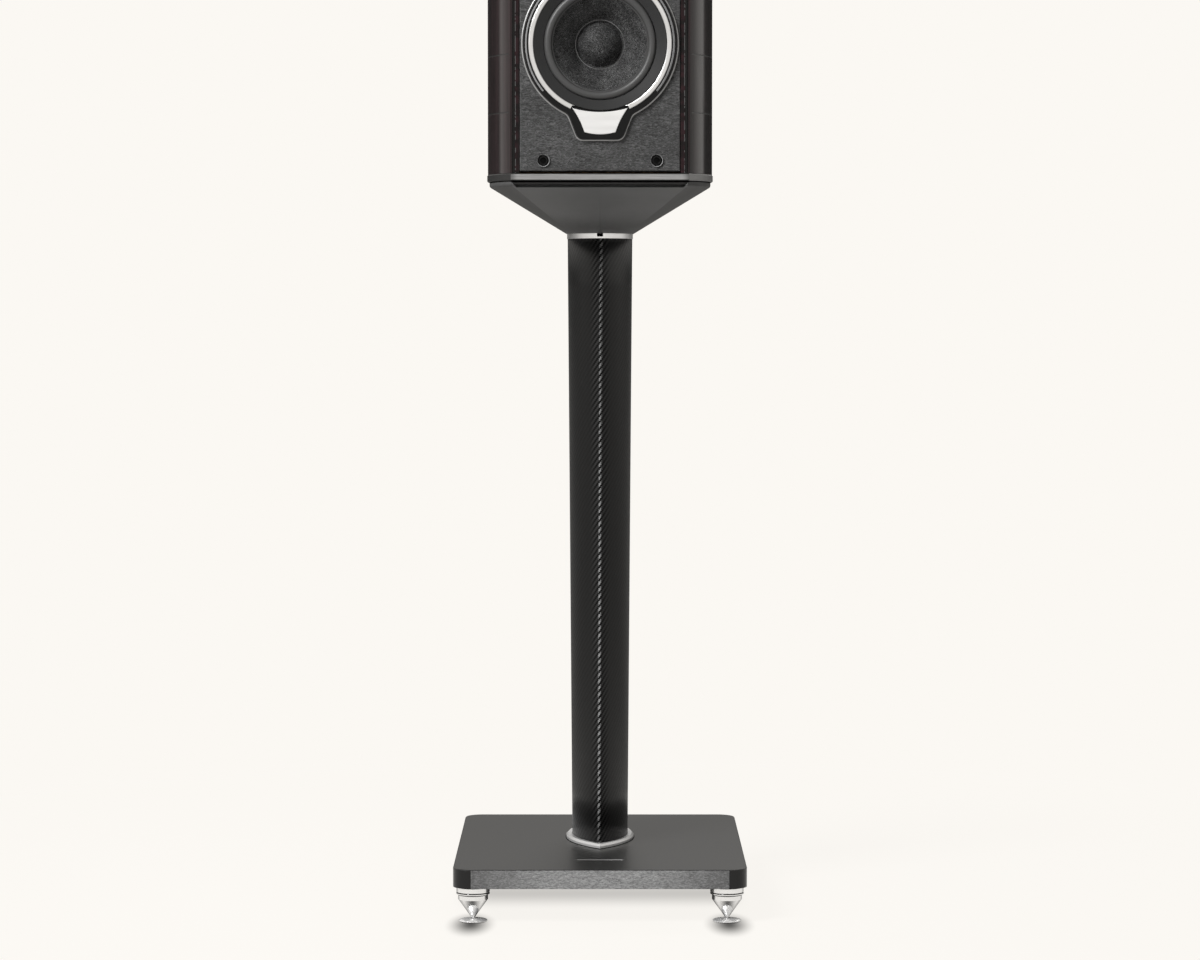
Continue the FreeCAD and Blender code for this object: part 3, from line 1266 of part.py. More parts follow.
def make_nut(label, sign_x, sign_z):
    body = rear_body(label, f"terminal_z + {sign_z} * post_rise")
    bind(body, "Placement.Base.x", f"{sign_x} * post_side")
    foot = "terminal_thickness + joint_gap + post_collar + nut_lift"
    top = f"{foot} + nut_length"
    hole = "post_radius + thread_clearance"
    spin(body, [(hole, foot), ("nut_radius - nut_edge", foot), ("nut_radius", f"{foot} + nut_edge"),
                ("nut_radius", f"{top} - nut_edge"), ("nut_radius - nut_edge", top), (hole, top)])
    doc.recompute()
    flute = new_sketch(body, offset=foot)
    circle(flute, "nut_radius", "0", "nut_flute")
    cut = pocket(body, flute, "nut_length", backward=True)
    repeat(body, cut, "nut_flutes")


# ------------------------------------------------------------------ crossover
FLOOR_TOP = f"({WALL_FOOT} + joint_gap + floor_thickness)"
BOARD_TOP = f"({FLOOR_TOP} + joint_gap + board_thickness)"


def make_crossover():
    board = new_body("crossover_board", z=f"{FLOOR_TOP} + joint_gap")
    sketch = new_sketch(board)
    rectangle(sketch, "-board_half_width", "board_half_width", BOARD_FRONT_Y, BOARD_BACK_Y)
    pad(board, sketch, "board_thickness")
    coils = new_body("crossover_coils", z=f"{BOARD_TOP} + joint_gap")
    rings = new_sketch(coils)
    for x in ("-board_half_width / 2", "board_half_width / 2"):
        for radius in ("inductor_radius", "inductor_core"):
            circle(rings, x, f"{BOARD_FRONT_Y} + inductor_radius + joint_gap", radius)
    pad(coils, rings, "inductor_height")
    capacitors = new_body("crossover_capacitors", z=f"{BOARD_TOP} + joint_gap")
    ends = new_sketch(capacitors, "XZ_Plane", offset=f"-{BOARD_BACK_Y} + joint_gap")
    for x in ("-board_half_width * 0.6", "0", "board_half_width * 0.6"):
        circle(ends, x, "capacitor_radius", "capacitor_radius")
    pad(capacitors, ends, "capacitor_length")


# ------------------------------------------------------------------ build everything
make_base_plate()
make_floor_discs()
make_inserts()
make_base_bolts()
for foot_side, sign_side in (("left", -1), ("right", 1)):
    for foot_end, sign_end in (("front", -1), ("rear", 1)):
        make_spike(foot_side, foot_end, sign_side, sign_end)
make_foot_ring()
make_column_tube()
make_block("column_lower_block", COLUMN_FOOT, "column_wall + block_fit", True)
make_block("column_upper_block", f"{COLUMN_HEAD} - block_height",
           "column_wall + block_fit - column_flare * (1 - block_height / column_height)", False)
make_head_ring()
make_tie_rod()
make_neck()
make_neck_strip()
make_cabinet_studs()
make_end_plate("cabinet_bottom_plate", CABINET_FOOT, True)
make_end_plate("cabinet_top_plate", f"{CABINET_TOP} - plate_thickness", False)
make_inner_board("cabinet_floor_board", f"{WALL_FOOT} + joint_gap", "floor_thickness", holes=True)
make_inner_board("cabinet_brace", "brace_z", "brace_thickness", window=True)
make_baffle()
make_sockets()
for wall_side, sign_side in (("left", -1), ("right", 1)):
    make_strip(f"corner_strip_{wall_side}", sign_side)
    make_wall(f"side_wall_{wall_side}", sign_side)
make_inlays()
make_spine()
make_wadding()
make_woofer_trim()
make_woofer_rings()
make_basket()
make_magnet()
make_cone()
make_dust_dome()
make_surround()
make_voice_coil()
make_spider()
make_tweeter_trim()
make_faceplate()
make_tweeter_dome()
make_tweeter_magnet()
make_port()
make_terminals()
for post_side, sign_side in (("left", -1), ("right", 1)):
    for post_level, sign_level in (("lower", -1), ("upper", 1)):
        make_nut(f"terminal_nut_{post_level}_{post_side}", sign_side, sign_level)
make_crossover()

# ------------------------------------------------------------------ check and write
doc.recompute()
for item in doc.Objects:
    if "Invalid" in item.State or "Error" in item.State:
        raise RuntimeError(f"{item.Label} failed: {item.State}")
for piece in pieces:
    if piece.Shape.isNull() or not piece.Shape.isValid():
        raise RuntimeError(f"{piece.Label} has no valid shape")
os.makedirs("parts", exist_ok=True)
for piece in pieces:
    piece.Shape.exportStep(f"parts/{piece.Label}.step")
print(f"{len(pieces)} sub-parts written")
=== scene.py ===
import json
import math

import bmesh
import bpy
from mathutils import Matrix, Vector


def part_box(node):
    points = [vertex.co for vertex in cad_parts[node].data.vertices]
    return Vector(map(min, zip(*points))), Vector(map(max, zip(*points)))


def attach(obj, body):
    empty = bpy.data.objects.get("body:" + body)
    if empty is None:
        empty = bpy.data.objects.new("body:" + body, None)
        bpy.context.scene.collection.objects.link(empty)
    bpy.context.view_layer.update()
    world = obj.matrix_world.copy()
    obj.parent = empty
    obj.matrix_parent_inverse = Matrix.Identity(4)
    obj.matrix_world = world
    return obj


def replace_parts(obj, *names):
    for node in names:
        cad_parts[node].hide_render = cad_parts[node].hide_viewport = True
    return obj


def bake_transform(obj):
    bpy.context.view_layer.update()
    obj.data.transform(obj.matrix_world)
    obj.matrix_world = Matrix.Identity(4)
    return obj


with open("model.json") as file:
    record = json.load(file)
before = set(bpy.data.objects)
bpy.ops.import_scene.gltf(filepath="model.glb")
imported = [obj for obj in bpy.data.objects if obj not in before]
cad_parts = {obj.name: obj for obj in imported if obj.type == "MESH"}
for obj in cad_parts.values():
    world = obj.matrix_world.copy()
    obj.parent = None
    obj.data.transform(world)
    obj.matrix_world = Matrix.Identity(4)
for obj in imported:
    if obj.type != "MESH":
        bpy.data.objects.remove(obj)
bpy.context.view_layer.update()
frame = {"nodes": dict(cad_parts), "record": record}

MM = 0.001
ROOT = "speaker_and_stand"
CORNERS = ("front_left", "front_right", "rear_left", "rear_right")


# ------------------------------------------------------------------ shader helpers
def srgb(red, green, blue):
    """Linear colour of an 8-bit screen colour."""
    def linear(channel):
        share = channel / 255
        return share / 12.92 if share <= 0.04045 else ((share + 0.055) / 1.055) ** 2.4
    return (linear(red), linear(green), linear(blue), 1)


def grey(level):
    return srgb(level, level, level)


BACKGROUND = srgb(251, 248, 243)


class Nodes:
    """A node tree and short names for the nodes that go into it."""

    def __init__(self, tree):
        self.tree = tree

    def node(self, kind, inputs=None, **settings):
        made = self.tree.nodes.new(kind)
        for name, setting in settings.items():
            setattr(made, name, setting)
        for socket, source in (inputs or {}).items():
            if isinstance(source, bpy.types.NodeSocket):
                self.tree.links.new(source, made.inputs[socket])
            else:
                made.inputs[socket].default_value = source
        return made

    def coordinates(self, kind):
        return self.node("ShaderNodeTexCoord").outputs[kind]

    def axes(self, vector):
        """The X, Y and Z of a vector."""
        return self.node("ShaderNodeSeparateXYZ", {0: vector}).outputs

    def math(self, operation, first, second=0.0, third=0.0):
        inputs = {0: first, 1: second, 2: third}
        return self.node("ShaderNodeMath", inputs, operation=operation).outputs[0]

    def away(self, value, middle):
        """How far a value is from a middle, on either side."""
        return self.math("ABSOLUTE", self.math("SUBTRACT", value, middle))

    def fade(self, value, start, stop, first, last, kind="SMOOTHSTEP"):
        """The first number up to start and the last from stop on, with a soft step between them."""
        inputs = {"Value": value, "From Min": start, "From Max": stop, "To Min": first,
                  "To Max": last}
        return self.node("ShaderNodeMapRange", inputs, interpolation_type=kind).outputs["Result"]

    def span(self, share, low, high):
        """A share from 0 to 1 spread evenly between two numbers."""
        return self.fade(share, 0.0, 1.0, low, high, "LINEAR")

    def weigh(self, first, share, second):
        """A share of the first and the rest of the second."""
        return self.math("ADD", self.math("MULTIPLY", first, share),
                         self.math("MULTIPLY", second, 1 - share))

    def mix(self, share, first, second, kind="MIX"):
        inputs = {0: share, 6: first, 7: second}
        return self.node("ShaderNodeMix", inputs, data_type="RGBA", blend_type=kind).outputs[2]

    def glow(self, strength):
        """Light of the background's own colour."""
        inputs = {"Color": BACKGROUND, "Strength": strength}
        return self.node("ShaderNodeEmission", inputs).outputs[0]

    def between(self, share, first, second):
        """A mix of two shaders."""
        return self.node("ShaderNodeMixShader", {0: share, 1: first, 2: second}).outputs[0]

    def seen_directly(self):
        """1 for camera, glossy and transmission rays, which see the background's own colour."""
        rays = self.node("ShaderNodeLightPath").outputs
        total = rays["Is Camera Ray"]
        for name in ("Is Glossy Ray", "Is Transmission Ray"):
            total = self.math("MAXIMUM", total, rays[name])
        return total


class Finish(Nodes):
    """A Principled material, with what feeds its shader."""

    def __init__(self, name, colour, roughness, metallic=0.0, **sockets):
        self.material = bpy.data.materials.new(name)
        self.material.use_nodes = True
        super().__init__(self.material.node_tree)
        self.shader = self.tree.nodes["Principled BSDF"]
        self.set("Base Color", colour)
        self.set("Roughness", roughness)
        self.set("Metallic", metallic)
        for socket, number in sockets.items():
            self.set(socket.replace("_", " "), number)
        self.place = self.coordinates("Object")

    def set(self, socket, number):
        self.shader.inputs[socket].default_value = number

    def feed(self, socket, output):
        self.tree.links.new(output, self.shader.inputs[socket])

    def normal(self):
        """The X, Y and Z of the surface's direction."""
        return self.axes(self.node("ShaderNodeNewGeometry").outputs["Normal"])

    def stretch(self, scale):
        """The place, scaled on each axis."""
        return self.node("ShaderNodeMapping", {"Vector": self.place, "Scale": scale}).outputs[0]

    def noise(self, scale, detail=2.0, rough=0.5, place=None, distortion=0.0):
        inputs = {"Vector": place or self.place, "Scale": scale, "Detail": detail,
                  "Roughness": rough, "Distortion": distortion}
        return self.node("ShaderNodeTexNoise", inputs).outputs["Fac"]

    def cells(self, scale, place=None, feature="F1", randomness=1.0):
        inputs = {"Vector": place or self.place, "Scale": scale, "Randomness": randomness}
        return self.node("ShaderNodeTexVoronoi", inputs, feature=feature).outputs["Distance"]

    def ramp(self, share, stops):
        made = self.node("ShaderNodeValToRGB", {0: share})
        elements = made.color_ramp.elements
        while len(elements) < len(stops):
            elements.new(0.5)
        for element, (position, colour) in zip(elements, stops):
            element.position = position
            element.color = colour
        return made.outputs["Color"]

    def bump(self, height, depth_mm, strength=1.0, under=None):
        inputs = {"Height": height, "Distance": depth_mm * MM, "Strength": strength}
        if under:
            inputs["Normal"] = under
        output = self.node("ShaderNodeBump", inputs).outputs["Normal"]
        self.feed("Normal", output)
        return output

    def soft_edges(self, radius_mm):
        """Rounds the shading of sharp edges."""
        inputs = {"Radius": radius_mm * MM}
        return self.node("ShaderNodeBevel", inputs, samples=4).outputs["Normal"]


# ------------------------------------------------------------------ finishes, one for each slot
def base_black():
    """Satin black with painted light: its flat front and back are brushed and painted lighter as if
    lit from the front, with painted shade towards their ends, and its rounded corners and sides are
    painted darker than its top.
    """
    made = Finish("base_black", grey(40), 0.3, Specular_IOR_Level=0.3)
    streaks = made.noise(1100, 5, 0.8, made.stretch((0.3, 1, 1)))
    patches = made.noise(180, 3, 0.6, made.stretch((0.4, 1, 1.6)))
    fine = made.noise(900, 3, 0.6)
    tone = made.weigh(streaks, 0.85, patches)
    mottled = made.ramp(tone, [(0.36, grey(110)), (0.5, grey(158)), (0.62, grey(202))])
    # Painted shade: the lit front and back grow darker towards their ends.
    across = made.math("ABSOLUTE", made.axes(made.place)["X"])
    painted_end_shade = made.fade(across, 55 * MM, 135 * MM, 1.0, 0.5, "LINEAR")
    mottled = made.mix(1.0, mottled, painted_end_shade, "MULTIPLY")
    normal = made.normal()
    flat_face, level_face = 0.998, 0.5
    # Painted light: only the flat front and back take the light brushed tone, as if lit from the
    # front, so the rounded corners stay dark.
    brushed = made.math("GREATER_THAN", made.math("ABSOLUTE", normal["Y"]), flat_face)
    level = made.math("GREATER_THAN", made.math("ABSOLUTE", normal["Z"]), level_face)
    # Painted shade: the sides are a darker grey than the top.
    painted_side_shade = made.mix(level, grey(22), grey(37))
    made.feed("Base Color", made.mix(brushed, painted_side_shade, mottled))
    made.feed("Roughness", made.span(fine, 0.26, 0.36))
    made.bump(fine, 0.02, 0.4, made.soft_edges(0.7))
    return made.material


def plated(name, level, roughness, metallic, grain, polish):
    """Plated metal, smeared between two roughnesses."""
    made = Finish(name, grey(level), roughness, metallic)
    smear = made.noise(grain, 3, 0.5)
    made.feed("Roughness", made.span(smear, *polish))
    made.bump(smear, 0.01, 0.2, made.soft_edges(0.25))
    return made


def chrome():
    return plated("chrome", 236, 0.1, 0.9, 60, (0.07, 0.15)).material


def spike_chrome():
    """Chrome of the spikes, with a painted dark reflection where it turns away and painted shade in
    the two grooves of their collars.
    """
    made = plated("spike_chrome", 236, 0.1, 0.9, 60, (0.07, 0.15))
    # Painted reflection: the chrome darkens where it turns away from the view.
    turned_away = made.node("ShaderNodeLayerWeight", {"Blend": 0.5}).outputs["Facing"]
    tone = made.ramp(turned_away, [(0.5, grey(236)), (0.72, grey(150)), (0.9, grey(70))])
    height = made.axes(made.place)["Z"]
    # Painted shade: dark bands at the heights of the collar's two grooves.
    grooves, groove_half = (32.25 * MM, 30.0 * MM), 0.6 * MM
    for groove in grooves:
        tone = made.mix(made.math("LESS_THAN", made.away(height, groove), groove_half), tone,
                        grey(70))
    made.feed("Base Color", tone)
    return made.material


def disc_satin():
    """Satin plating of the discs under the spikes."""
    return plated("disc_satin", 240, 0.3, 0.5, 90, (0.24, 0.36)).material


def steel():
    made = Finish("steel", grey(170), 0.3, 1.0)
    turned = made.noise(700, 2, 0.5, made.stretch((1, 1, 6)))
    made.feed("Roughness", made.span(turned, 0.22, 0.4))
    made.bump(turned, 0.01, 0.4)
    return made.material


def neck_grey(name="neck_grey", low=106, high=126):
    """Matt grey, with painted shade on the faces that look sideways."""
    made = Finish(name, grey(low), 0.5, Specular_IOR_Level=0.35)
    grain = made.noise(1600, 3, 0.6)
    cloud = made.noise(14, 3, 0.5)
    front_face, side_face = 0.12, 0.3
    # Painted shade: faces that look sideways take a darker grey.
    sideways = made.math("ABSOLUTE", made.normal()["X"])
    side = made.fade(sideways, front_face, side_face, 0.0, 1.0)
    front = made.mix(cloud, grey(low), grey(high))
    made.feed("Base Color", made.mix(side, front, grey(low * 0.75)))
    made.feed("Roughness", made.span(grain, 0.46, 0.58))
    made.bump(grain, 0.015, 0.5, made.soft_edges(1.0))
    return made.material


def strip_dark():
    """The neck's grey made deep, as painted shade on the plate in the neck's front recess."""
    return neck_grey("strip_dark", 34, 44)


def ring_satin(name="ring_satin", level=216, metallic=0.5):
    """Turned satin metal of the ring at the column's foot."""
    made = Finish(name, grey(level), 0.34, metallic)
    turned = made.noise(260, 3, 0.5, made.stretch((1, 1, 4)))
    made.feed("Roughness", made.span(turned, 0.3, 0.42))
    made.bump(turned, 0.008, 0.3, made.soft_edges(0.5))
    return made.material


def ring_bright():
    """The ring at the column's head, with more polish."""
    return ring_satin("ring_bright", 250, 0.95)


def line_metal(name="line_metal", level=156):
    """Thin bright lines: the bead round the woofer's trim, a painted highlight of the leather's
    edge there, and the inlay on the base.
    """
    made = Finish(name, grey(level), 0.42, 0.55)
    drawn = made.noise(600, 3, 0.5)
    made.feed("Base Color", made.mix(drawn, grey(level - 14), grey(level + 14)))
    made.feed("Roughness", made.span(drawn, 0.36, 0.5))
    return made.material


def glue_dots():
    """Dull dots of glue round the dust cap."""
    return line_metal("glue_dots", 92)


def socket_rim():
    """Satin light grey, a painted highlight, for the rims of the grille sockets and the trim's
    bevel.
    """
    made = Finish("socket_rim", grey(144), 0.5, Specular_IOR_Level=0.1)
    moulded = made.noise(700, 2, 0.5)
    made.feed("Base Color", made.mix(moulded, grey(134), grey(154)))
    made.feed("Roughness", made.span(moulded, 0.42, 0.56))
    return made.material


def socket_black():
    """Glossy black plastic of the grille sockets."""
    made = Finish("socket_black", grey(30), 0.3, Specular_IOR_Level=0.1)
    moulded = made.noise(500, 2, 0.5)
    made.feed("Roughness", made.span(moulded, 0.24, 0.36))
    made.bump(moulded, 0.01, 0.3, made.soft_edges(0.4))
    return made.material


def label_silver():
    """Bare silver plate with a faint brushing along its length."""
    made = Finish("label_silver", grey(230), 0.36, 0.7)
    brushed = made.noise(90, 3, 0.5, made.stretch((0.25, 1, 3)))
    made.feed("Base Color", made.mix(brushed, grey(222), grey(238)))
    made.feed("Roughness", made.span(brushed, 0.32, 0.42))
    made.bump(brushed, 0.004, 0.2, made.soft_edges(0.4))
    return made.material


def plate_metal():
    """Dark satin metal with painted light: its flat front and back are brushed and painted lighter
    as if lit from the front, with painted shade where they round into the corners, and its right
    side is painted light.
    """
    made = Finish("plate_metal", grey(140), 0.4, 0.6)
    brushed = made.noise(500, 4, 0.6, made.stretch((0.05, 0.05, 1.6)))
    normal = made.normal()
    flat_face, right_face = 0.9, 0.3
    # Painted light: the flat front and back take the light brushed tone, which fades darker from 86
    # to 94 mm out as painted shade of the rounded corners.
    flat = made.math("GREATER_THAN", made.math("ABSOLUTE", normal["Y"]), flat_face)
    across = made.math("ABSOLUTE", made.axes(made.place)["X"])
    flat = made.math("MULTIPLY", flat, made.fade(across, 86 * MM, 94 * MM, 1.0, 0.35))
    light = made.ramp(brushed, [(0.3, grey(134)), (0.7, grey(164))])
    speckle = made.noise(1100, 3, 0.6)
    # Painted light: faces that look right take a lighter grey.
    painted_right_light = made.math("GREATER_THAN", normal["X"], right_face)
    dark = made.mix(painted_right_light, made.mix(speckle, grey(42), grey(60)),
                    made.mix(speckle, grey(126), grey(150)))
    made.feed("Base Color", made.mix(flat, dark, light))
    streaked = made.ramp(brushed, [(0.3, grey(158)), (0.7, grey(188))])
    made.feed("Roughness", made.mix(flat, grey(178), streaked))
    made.bump(made.math("MULTIPLY", brushed, flat), 0.01, 0.4, made.soft_edges(0.6))
    return made.material


def baffle_leather():
    """Fine leather whose creases run across the baffle."""
    made = Finish("baffle_leather", grey(78), 0.5, Specular_IOR_Level=0.2)
    across = made.stretch((0.5, 1, 1.5))
    warped = made.noise(420, 5, 0.72, across, 1.4)
    pores = made.cells(620, across)
    creases = made.cells(300, made.stretch((0.55, 1, 1.4)), "DISTANCE_TO_EDGE")
    tone = made.weigh(warped, 0.85, made.noise(26, 4, 0.6))
    made.feed("Base Color", made.ramp(tone, [(0.36, grey(34)), (0.5, grey(75)), (0.62, grey(114))]))
    made.feed("Roughness", made.span(warped, 0.42, 0.62))
    first = made.bump(creases, 0.35, 0.6, made.soft_edges(0.8))
    second = made.bump(pores, 0.25, 0.5, first)
    made.bump(warped, 0.8, 0.9, second)
    return made.material


def lacquered_wood(name, dark, light, grain_scale, ripple=0.0, coat=1.0, edge=None, nose=None):
    """Dark wood under gloss lacquer.

    An edge is a distance from the middle, with near-black outside it and a dotted painted highlight
    along it.
    A nose is a depth from which the lacquer grows from 0.3 of its weight to its full weight, so its
    reflection is dimmed near the front edge as painted shade.
    """
    made = Finish(name, dark, 0.3, Specular_IOR_Level=0.12, Coat_Weight=coat, Coat_Roughness=0.05,
                  Coat_IOR=1.5)
    long_grain = made.noise(grain_scale, 5, 0.62, made.stretch((9, 9, 0.22)), 0.4)
    fine = made.noise(grain_scale * 9, 3, 0.6, made.stretch((4, 4, 0.12)))
    figure = made.noise(150, 2, 0.5, made.stretch((0.1, 0.1, 1)))
    wood = made.ramp(made.weigh(long_grain, 0.75, fine), [(0.32, dark), (0.66, light)])
    shade = made.ramp(figure, [(0.4, grey(255 - 150 * ripple)), (0.6, grey(255))])
    wood = made.mix(1.0, wood, shade, "MULTIPLY")
    place = made.axes(made.place)
    if edge is not None:
        line_middle, line_half = edge - 0.5 * MM, 0.4 * MM
        across = made.math("ABSOLUTE", place["X"])
        wood = made.mix(made.math("GREATER_THAN", across, edge), wood, grey(8))
        # Painted highlight: a dotted light line just inside the edge.
        line = made.math("LESS_THAN", made.away(across, line_middle), line_half)
        flecks = made.noise(260, 1, 0.5, made.stretch((0.01, 0.01, 1)))
        dots = made.math("MULTIPLY", line, made.math("GREATER_THAN", flecks, 0.45))
        wood = made.mix(dots, wood, grey(90))
    if nose is not None:
        # Painted shade: the lacquer's reflection is dimmed towards the front edge.
        shaded_depth = 18 * MM
        made.feed("Coat Weight", made.fade(place["Y"], nose, nose + shaded_depth, 0.3 * coat, coat))
    made.feed("Base Color", wood)
    made.feed("Roughness", made.span(fine, 0.25, 0.4))
    made.bump(fine, 0.01, 0.2, made.soft_edges(0.8))
    return made.material


def cabinet_wood():
    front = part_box("side_wall_left")[0].y
    return lacquered_wood("cabinet_wood", srgb(12, 10, 10), srgb(52, 39, 41), 26, coat=0.72,
                          nose=front)


def strip_wood():
    outer_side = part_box("corner_strip_right")[1].x
    dark_margin = 2.6 * MM
    return lacquered_wood("strip_wood", srgb(14, 7, 9), srgb(52, 26, 31), 34, ripple=1.0,
                          coat=0.15, edge=outer_side - dark_margin)


def inlay():
    made = Finish("inlay", grey(16), 0.35)
    speck = made.noise(900, 2)
    made.feed("Base Color", made.mix(speck, grey(10), grey(24)))
    return made.material


def inner_wood():
    made = Finish("inner_wood", srgb(176, 146, 108), 0.8)
    fibre = made.noise(420, 4, 0.6)
    made.feed("Base Color", made.mix(fibre, srgb(150, 120, 86), srgb(196, 168, 128)))
    made.bump(fibre, 0.05, 0.4)
    return made.material


def wadding():
    made = Finish("wadding", grey(205), 0.95, Sheen_Weight=0.4)
    fibre = made.noise(240, 5, 0.7, distortion=1.2)
    made.feed("Base Color", made.mix(fibre, grey(176), grey(222)))
    made.bump(fibre, 0.6, 0.6)
    return made.material


def trim_black():
    """Black of the trims, painted lighter where they slope, as if lit."""
    made = Finish("trim_black", grey(20), 0.45, Specular_IOR_Level=0.12)
    speckle = made.noise(1300, 3, 0.6)
    flat_face = 0.985
    sloping = made.math("LESS_THAN", made.math("ABSOLUTE", made.normal()["Y"]), flat_face)
    # Painted light: the sloping dish takes a lighter grey than the flat rim.
    rim = made.mix(speckle, grey(10), grey(26))
    painted_lit_dish = made.mix(speckle, grey(40), grey(62))
    made.feed("Base Color", made.mix(sloping, rim, painted_lit_dish))
    made.feed("Roughness", made.span(speckle, 0.4, 0.54))
    made.bump(speckle, 0.02, 0.5, made.soft_edges(0.5))
    return made.material


def bright_ring():
    made = Finish("bright_ring", grey(212), 0.3, 1.0)
    turned = made.noise(60, 3, 0.5)
    made.feed("Base Color", made.mix(turned, grey(206), grey(218)))
    made.feed("Roughness", made.span(turned, 0.26, 0.34))
    made.bump(turned, 0.004, 0.2, made.soft_edges(0.3))
    return made.material


def cone_paper():
    """Black pulp with light fibres in it."""
    made = Finish("cone_paper", grey(24), 0.55, Specular_IOR_Level=0.08)
    fibres = made.noise(900, 5, 0.8, distortion=1.6)
    cloud = made.noise(70, 4, 0.6)
    specks = made.cells(900)
    tone = made.math("MULTIPLY", fibres, made.span(cloud, 0.85, 1.15))
    made.feed("Base Color", made.ramp(tone, [(0.44, grey(5)), (0.61, grey(98)), (0.72, grey(205))]))
    made.feed("Roughness", made.span(specks, 0.42, 0.62))
    first = made.bump(specks, 0.06, 0.3)
    made.bump(fibres, 0.12, 0.5, first)
    return made.material


def rubber():
    made = Finish("rubber", grey(68), 0.38, Specular_IOR_Level=0.45)
    dust = made.noise(800, 3, 0.6)
    made.feed("Base Color", made.mix(dust, grey(58), grey(76)))
    made.feed("Roughness", made.span(dust, 0.36, 0.5))
    made.bump(dust, 0.02, 0.4)
    return made.material


def gap_black():
    """Near-black, painted shade in the narrow gaps, grooves and recesses."""
    made = Finish("gap_black", grey(6), 0.8, Specular_IOR_Level=0.05)
    gap_shade = made.noise(900, 2, 0.5)
    made.feed("Base Color", made.mix(gap_shade, grey(4), grey(12)))
    made.bump(gap_shade, 0.05, 0.4)
    return made.material


def cast_basket():
    made = Finish("cast_basket", grey(96), 0.5, 0.6)
    cast = made.noise(300, 4, 0.6)
    made.feed("Base Color", made.mix(cast, grey(82), grey(110)))
    made.bump(cast, 0.08, 0.4)
    return made.material


def magnet_steel():
    made = Finish("magnet_steel", grey(120), 0.38, 0.9)
    coating = made.noise(160, 3, 0.5)
    made.feed("Roughness", made.span(coating, 0.3, 0.48))
    made.bump(coating, 0.02, 0.3)
    return made.material


def copper():
    made = Finish("copper", srgb(196, 118, 74), 0.3, 1.0)
    wire = made.node("ShaderNodeTexWave", {"Vector": made.place, "Scale": 500, "Distortion": 0.0})
    made.feed("Base Color", made.mix(wire.outputs["Fac"], srgb(150, 82, 48), srgb(214, 136, 88)))
    made.bump(wire.outputs["Fac"], 0.08, 0.6)
    return made.material


def spider_cloth():
    made = Finish("spider_cloth", srgb(190, 150, 84), 0.85)
    weave = made.noise(1400, 2, 0.5)
    made.feed("Base Color", made.mix(weave, srgb(160, 124, 66), srgb(206, 166, 100)))
    made.bump(weave, 0.08, 0.5)
    return made.material


def silk():
    made = Finish("silk", grey(36), 0.48, Sheen_Weight=0.3)
    weave = made.noise(2400, 2, 0.5)
    made.feed("Base Color", made.mix(weave, grey(28), grey(46)))
    made.bump(weave, 0.04, 0.5)
    return made.material


def port_plastic():
    made = Finish("port_plastic", grey(30), 0.4)
    fine = made.noise(1100, 3, 0.6)
    made.feed("Roughness", made.span(fine, 0.32, 0.48))
    made.bump(fine, 0.03, 0.5, made.soft_edges(0.6))
    return made.material


def terminal_metal():
    made = Finish("terminal_metal", srgb(214, 172, 96), 0.18, 1.0)
    coating = made.noise(300, 3, 0.5)
    made.feed("Roughness", made.span(coating, 0.12, 0.26))
    made.bump(coating, 0.01, 0.3, made.soft_edges(0.3))
    return made.material


def circuit():
    board = srgb(22, 74, 46)
    made = Finish("circuit", board, 0.35)
    tracks = made.cells(160, feature="DISTANCE_TO_EDGE", randomness=0.3)
    made.feed("Base Color", made.ramp(tracks, [(0.05, srgb(52, 118, 80)), (0.12, board)]))
    return made.material


def capacitor_film():
    made = Finish("capacitor_film", srgb(126, 34, 30), 0.25, Coat_Weight=0.5)
    wound = made.noise(200, 2, 0.5, made.stretch((1, 8, 1)))
    made.feed("Base Color", made.mix(wound, srgb(104, 26, 24), srgb(146, 44, 38)))
    return made.material


def carbon():
    """Twill carbon under lacquer, with painted glints near the front ridge. U runs round the column
    and V up it, both in metres.
    """
    made = Finish("carbon", grey(20), 0.42, Specular_IOR_Level=0.03, Coat_Weight=0.34,
                  Coat_Roughness=0.36, Sheen_Weight=0.12, Sheen_Roughness=0.3)
    axes = made.axes(made.coordinates("UV"))
    tow = 1.8 * MM
    round_column = made.math("DIVIDE", axes["X"], tow)
    up_column = made.math("DIVIDE", axes["Y"], tow)
    step = made.math("SUBTRACT", made.math("FLOOR", round_column), made.math("FLOOR", up_column))
    over = made.math("LESS_THAN", made.math("FLOORED_MODULO", step, 4.0), 2.0)

    def arch(along):
        """Height across a tow, as a vector's X."""
        share = made.math("FRACT", along)
        rise = made.math("SINE", made.math("MULTIPLY", share, math.pi))
        return made.node("ShaderNodeCombineXYZ", {0: rise}).outputs[0]

    def near(start, stop, beside=0.0):
        """1 within start of the front ridge, or of a line beside it, falling to 0 at stop."""
        return made.fade(made.away(axes["X"], beside), start * MM, stop * MM, 1.0, 0.0)

    height = made.mix(over, arch(up_column), arch(round_column))
    raised = made.node("ShaderNodeSeparateColor", {0: height}).outputs[0]
    # Painted glint: the weave shows strong contrast near the front ridge and little away from it.
    middle = near(4, 19)
    flat = made.mix(over, grey(12), grey(18))
    clear = made.mix(over, grey(3), grey(46))
    weave = made.mix(middle, flat, clear)
    valleys = made.math("MULTIPLY", middle, made.math("SUBTRACT", 1.0, over))
    made.feed("Coat Weight", made.span(valleys, 0.34, 0.08))
    # Painted highlight: a light streak on the raised tows along a line beside the front ridge.
    seam_crossing, seam_slope = 0.39, 0.0056
    lean = made.math("MULTIPLY", made.math("SUBTRACT", axes["Y"], seam_crossing), seam_slope)
    seam_glint = made.math("MULTIPLY", near(0.4, 3.2, lean), over)
    made.feed("Base Color", made.mix(seam_glint, weave, grey(160)))
    made.feed("Roughness", made.span(over, 0.55, 0.38))
    made.bump(raised, 0.12, 0.5)
    return made.material


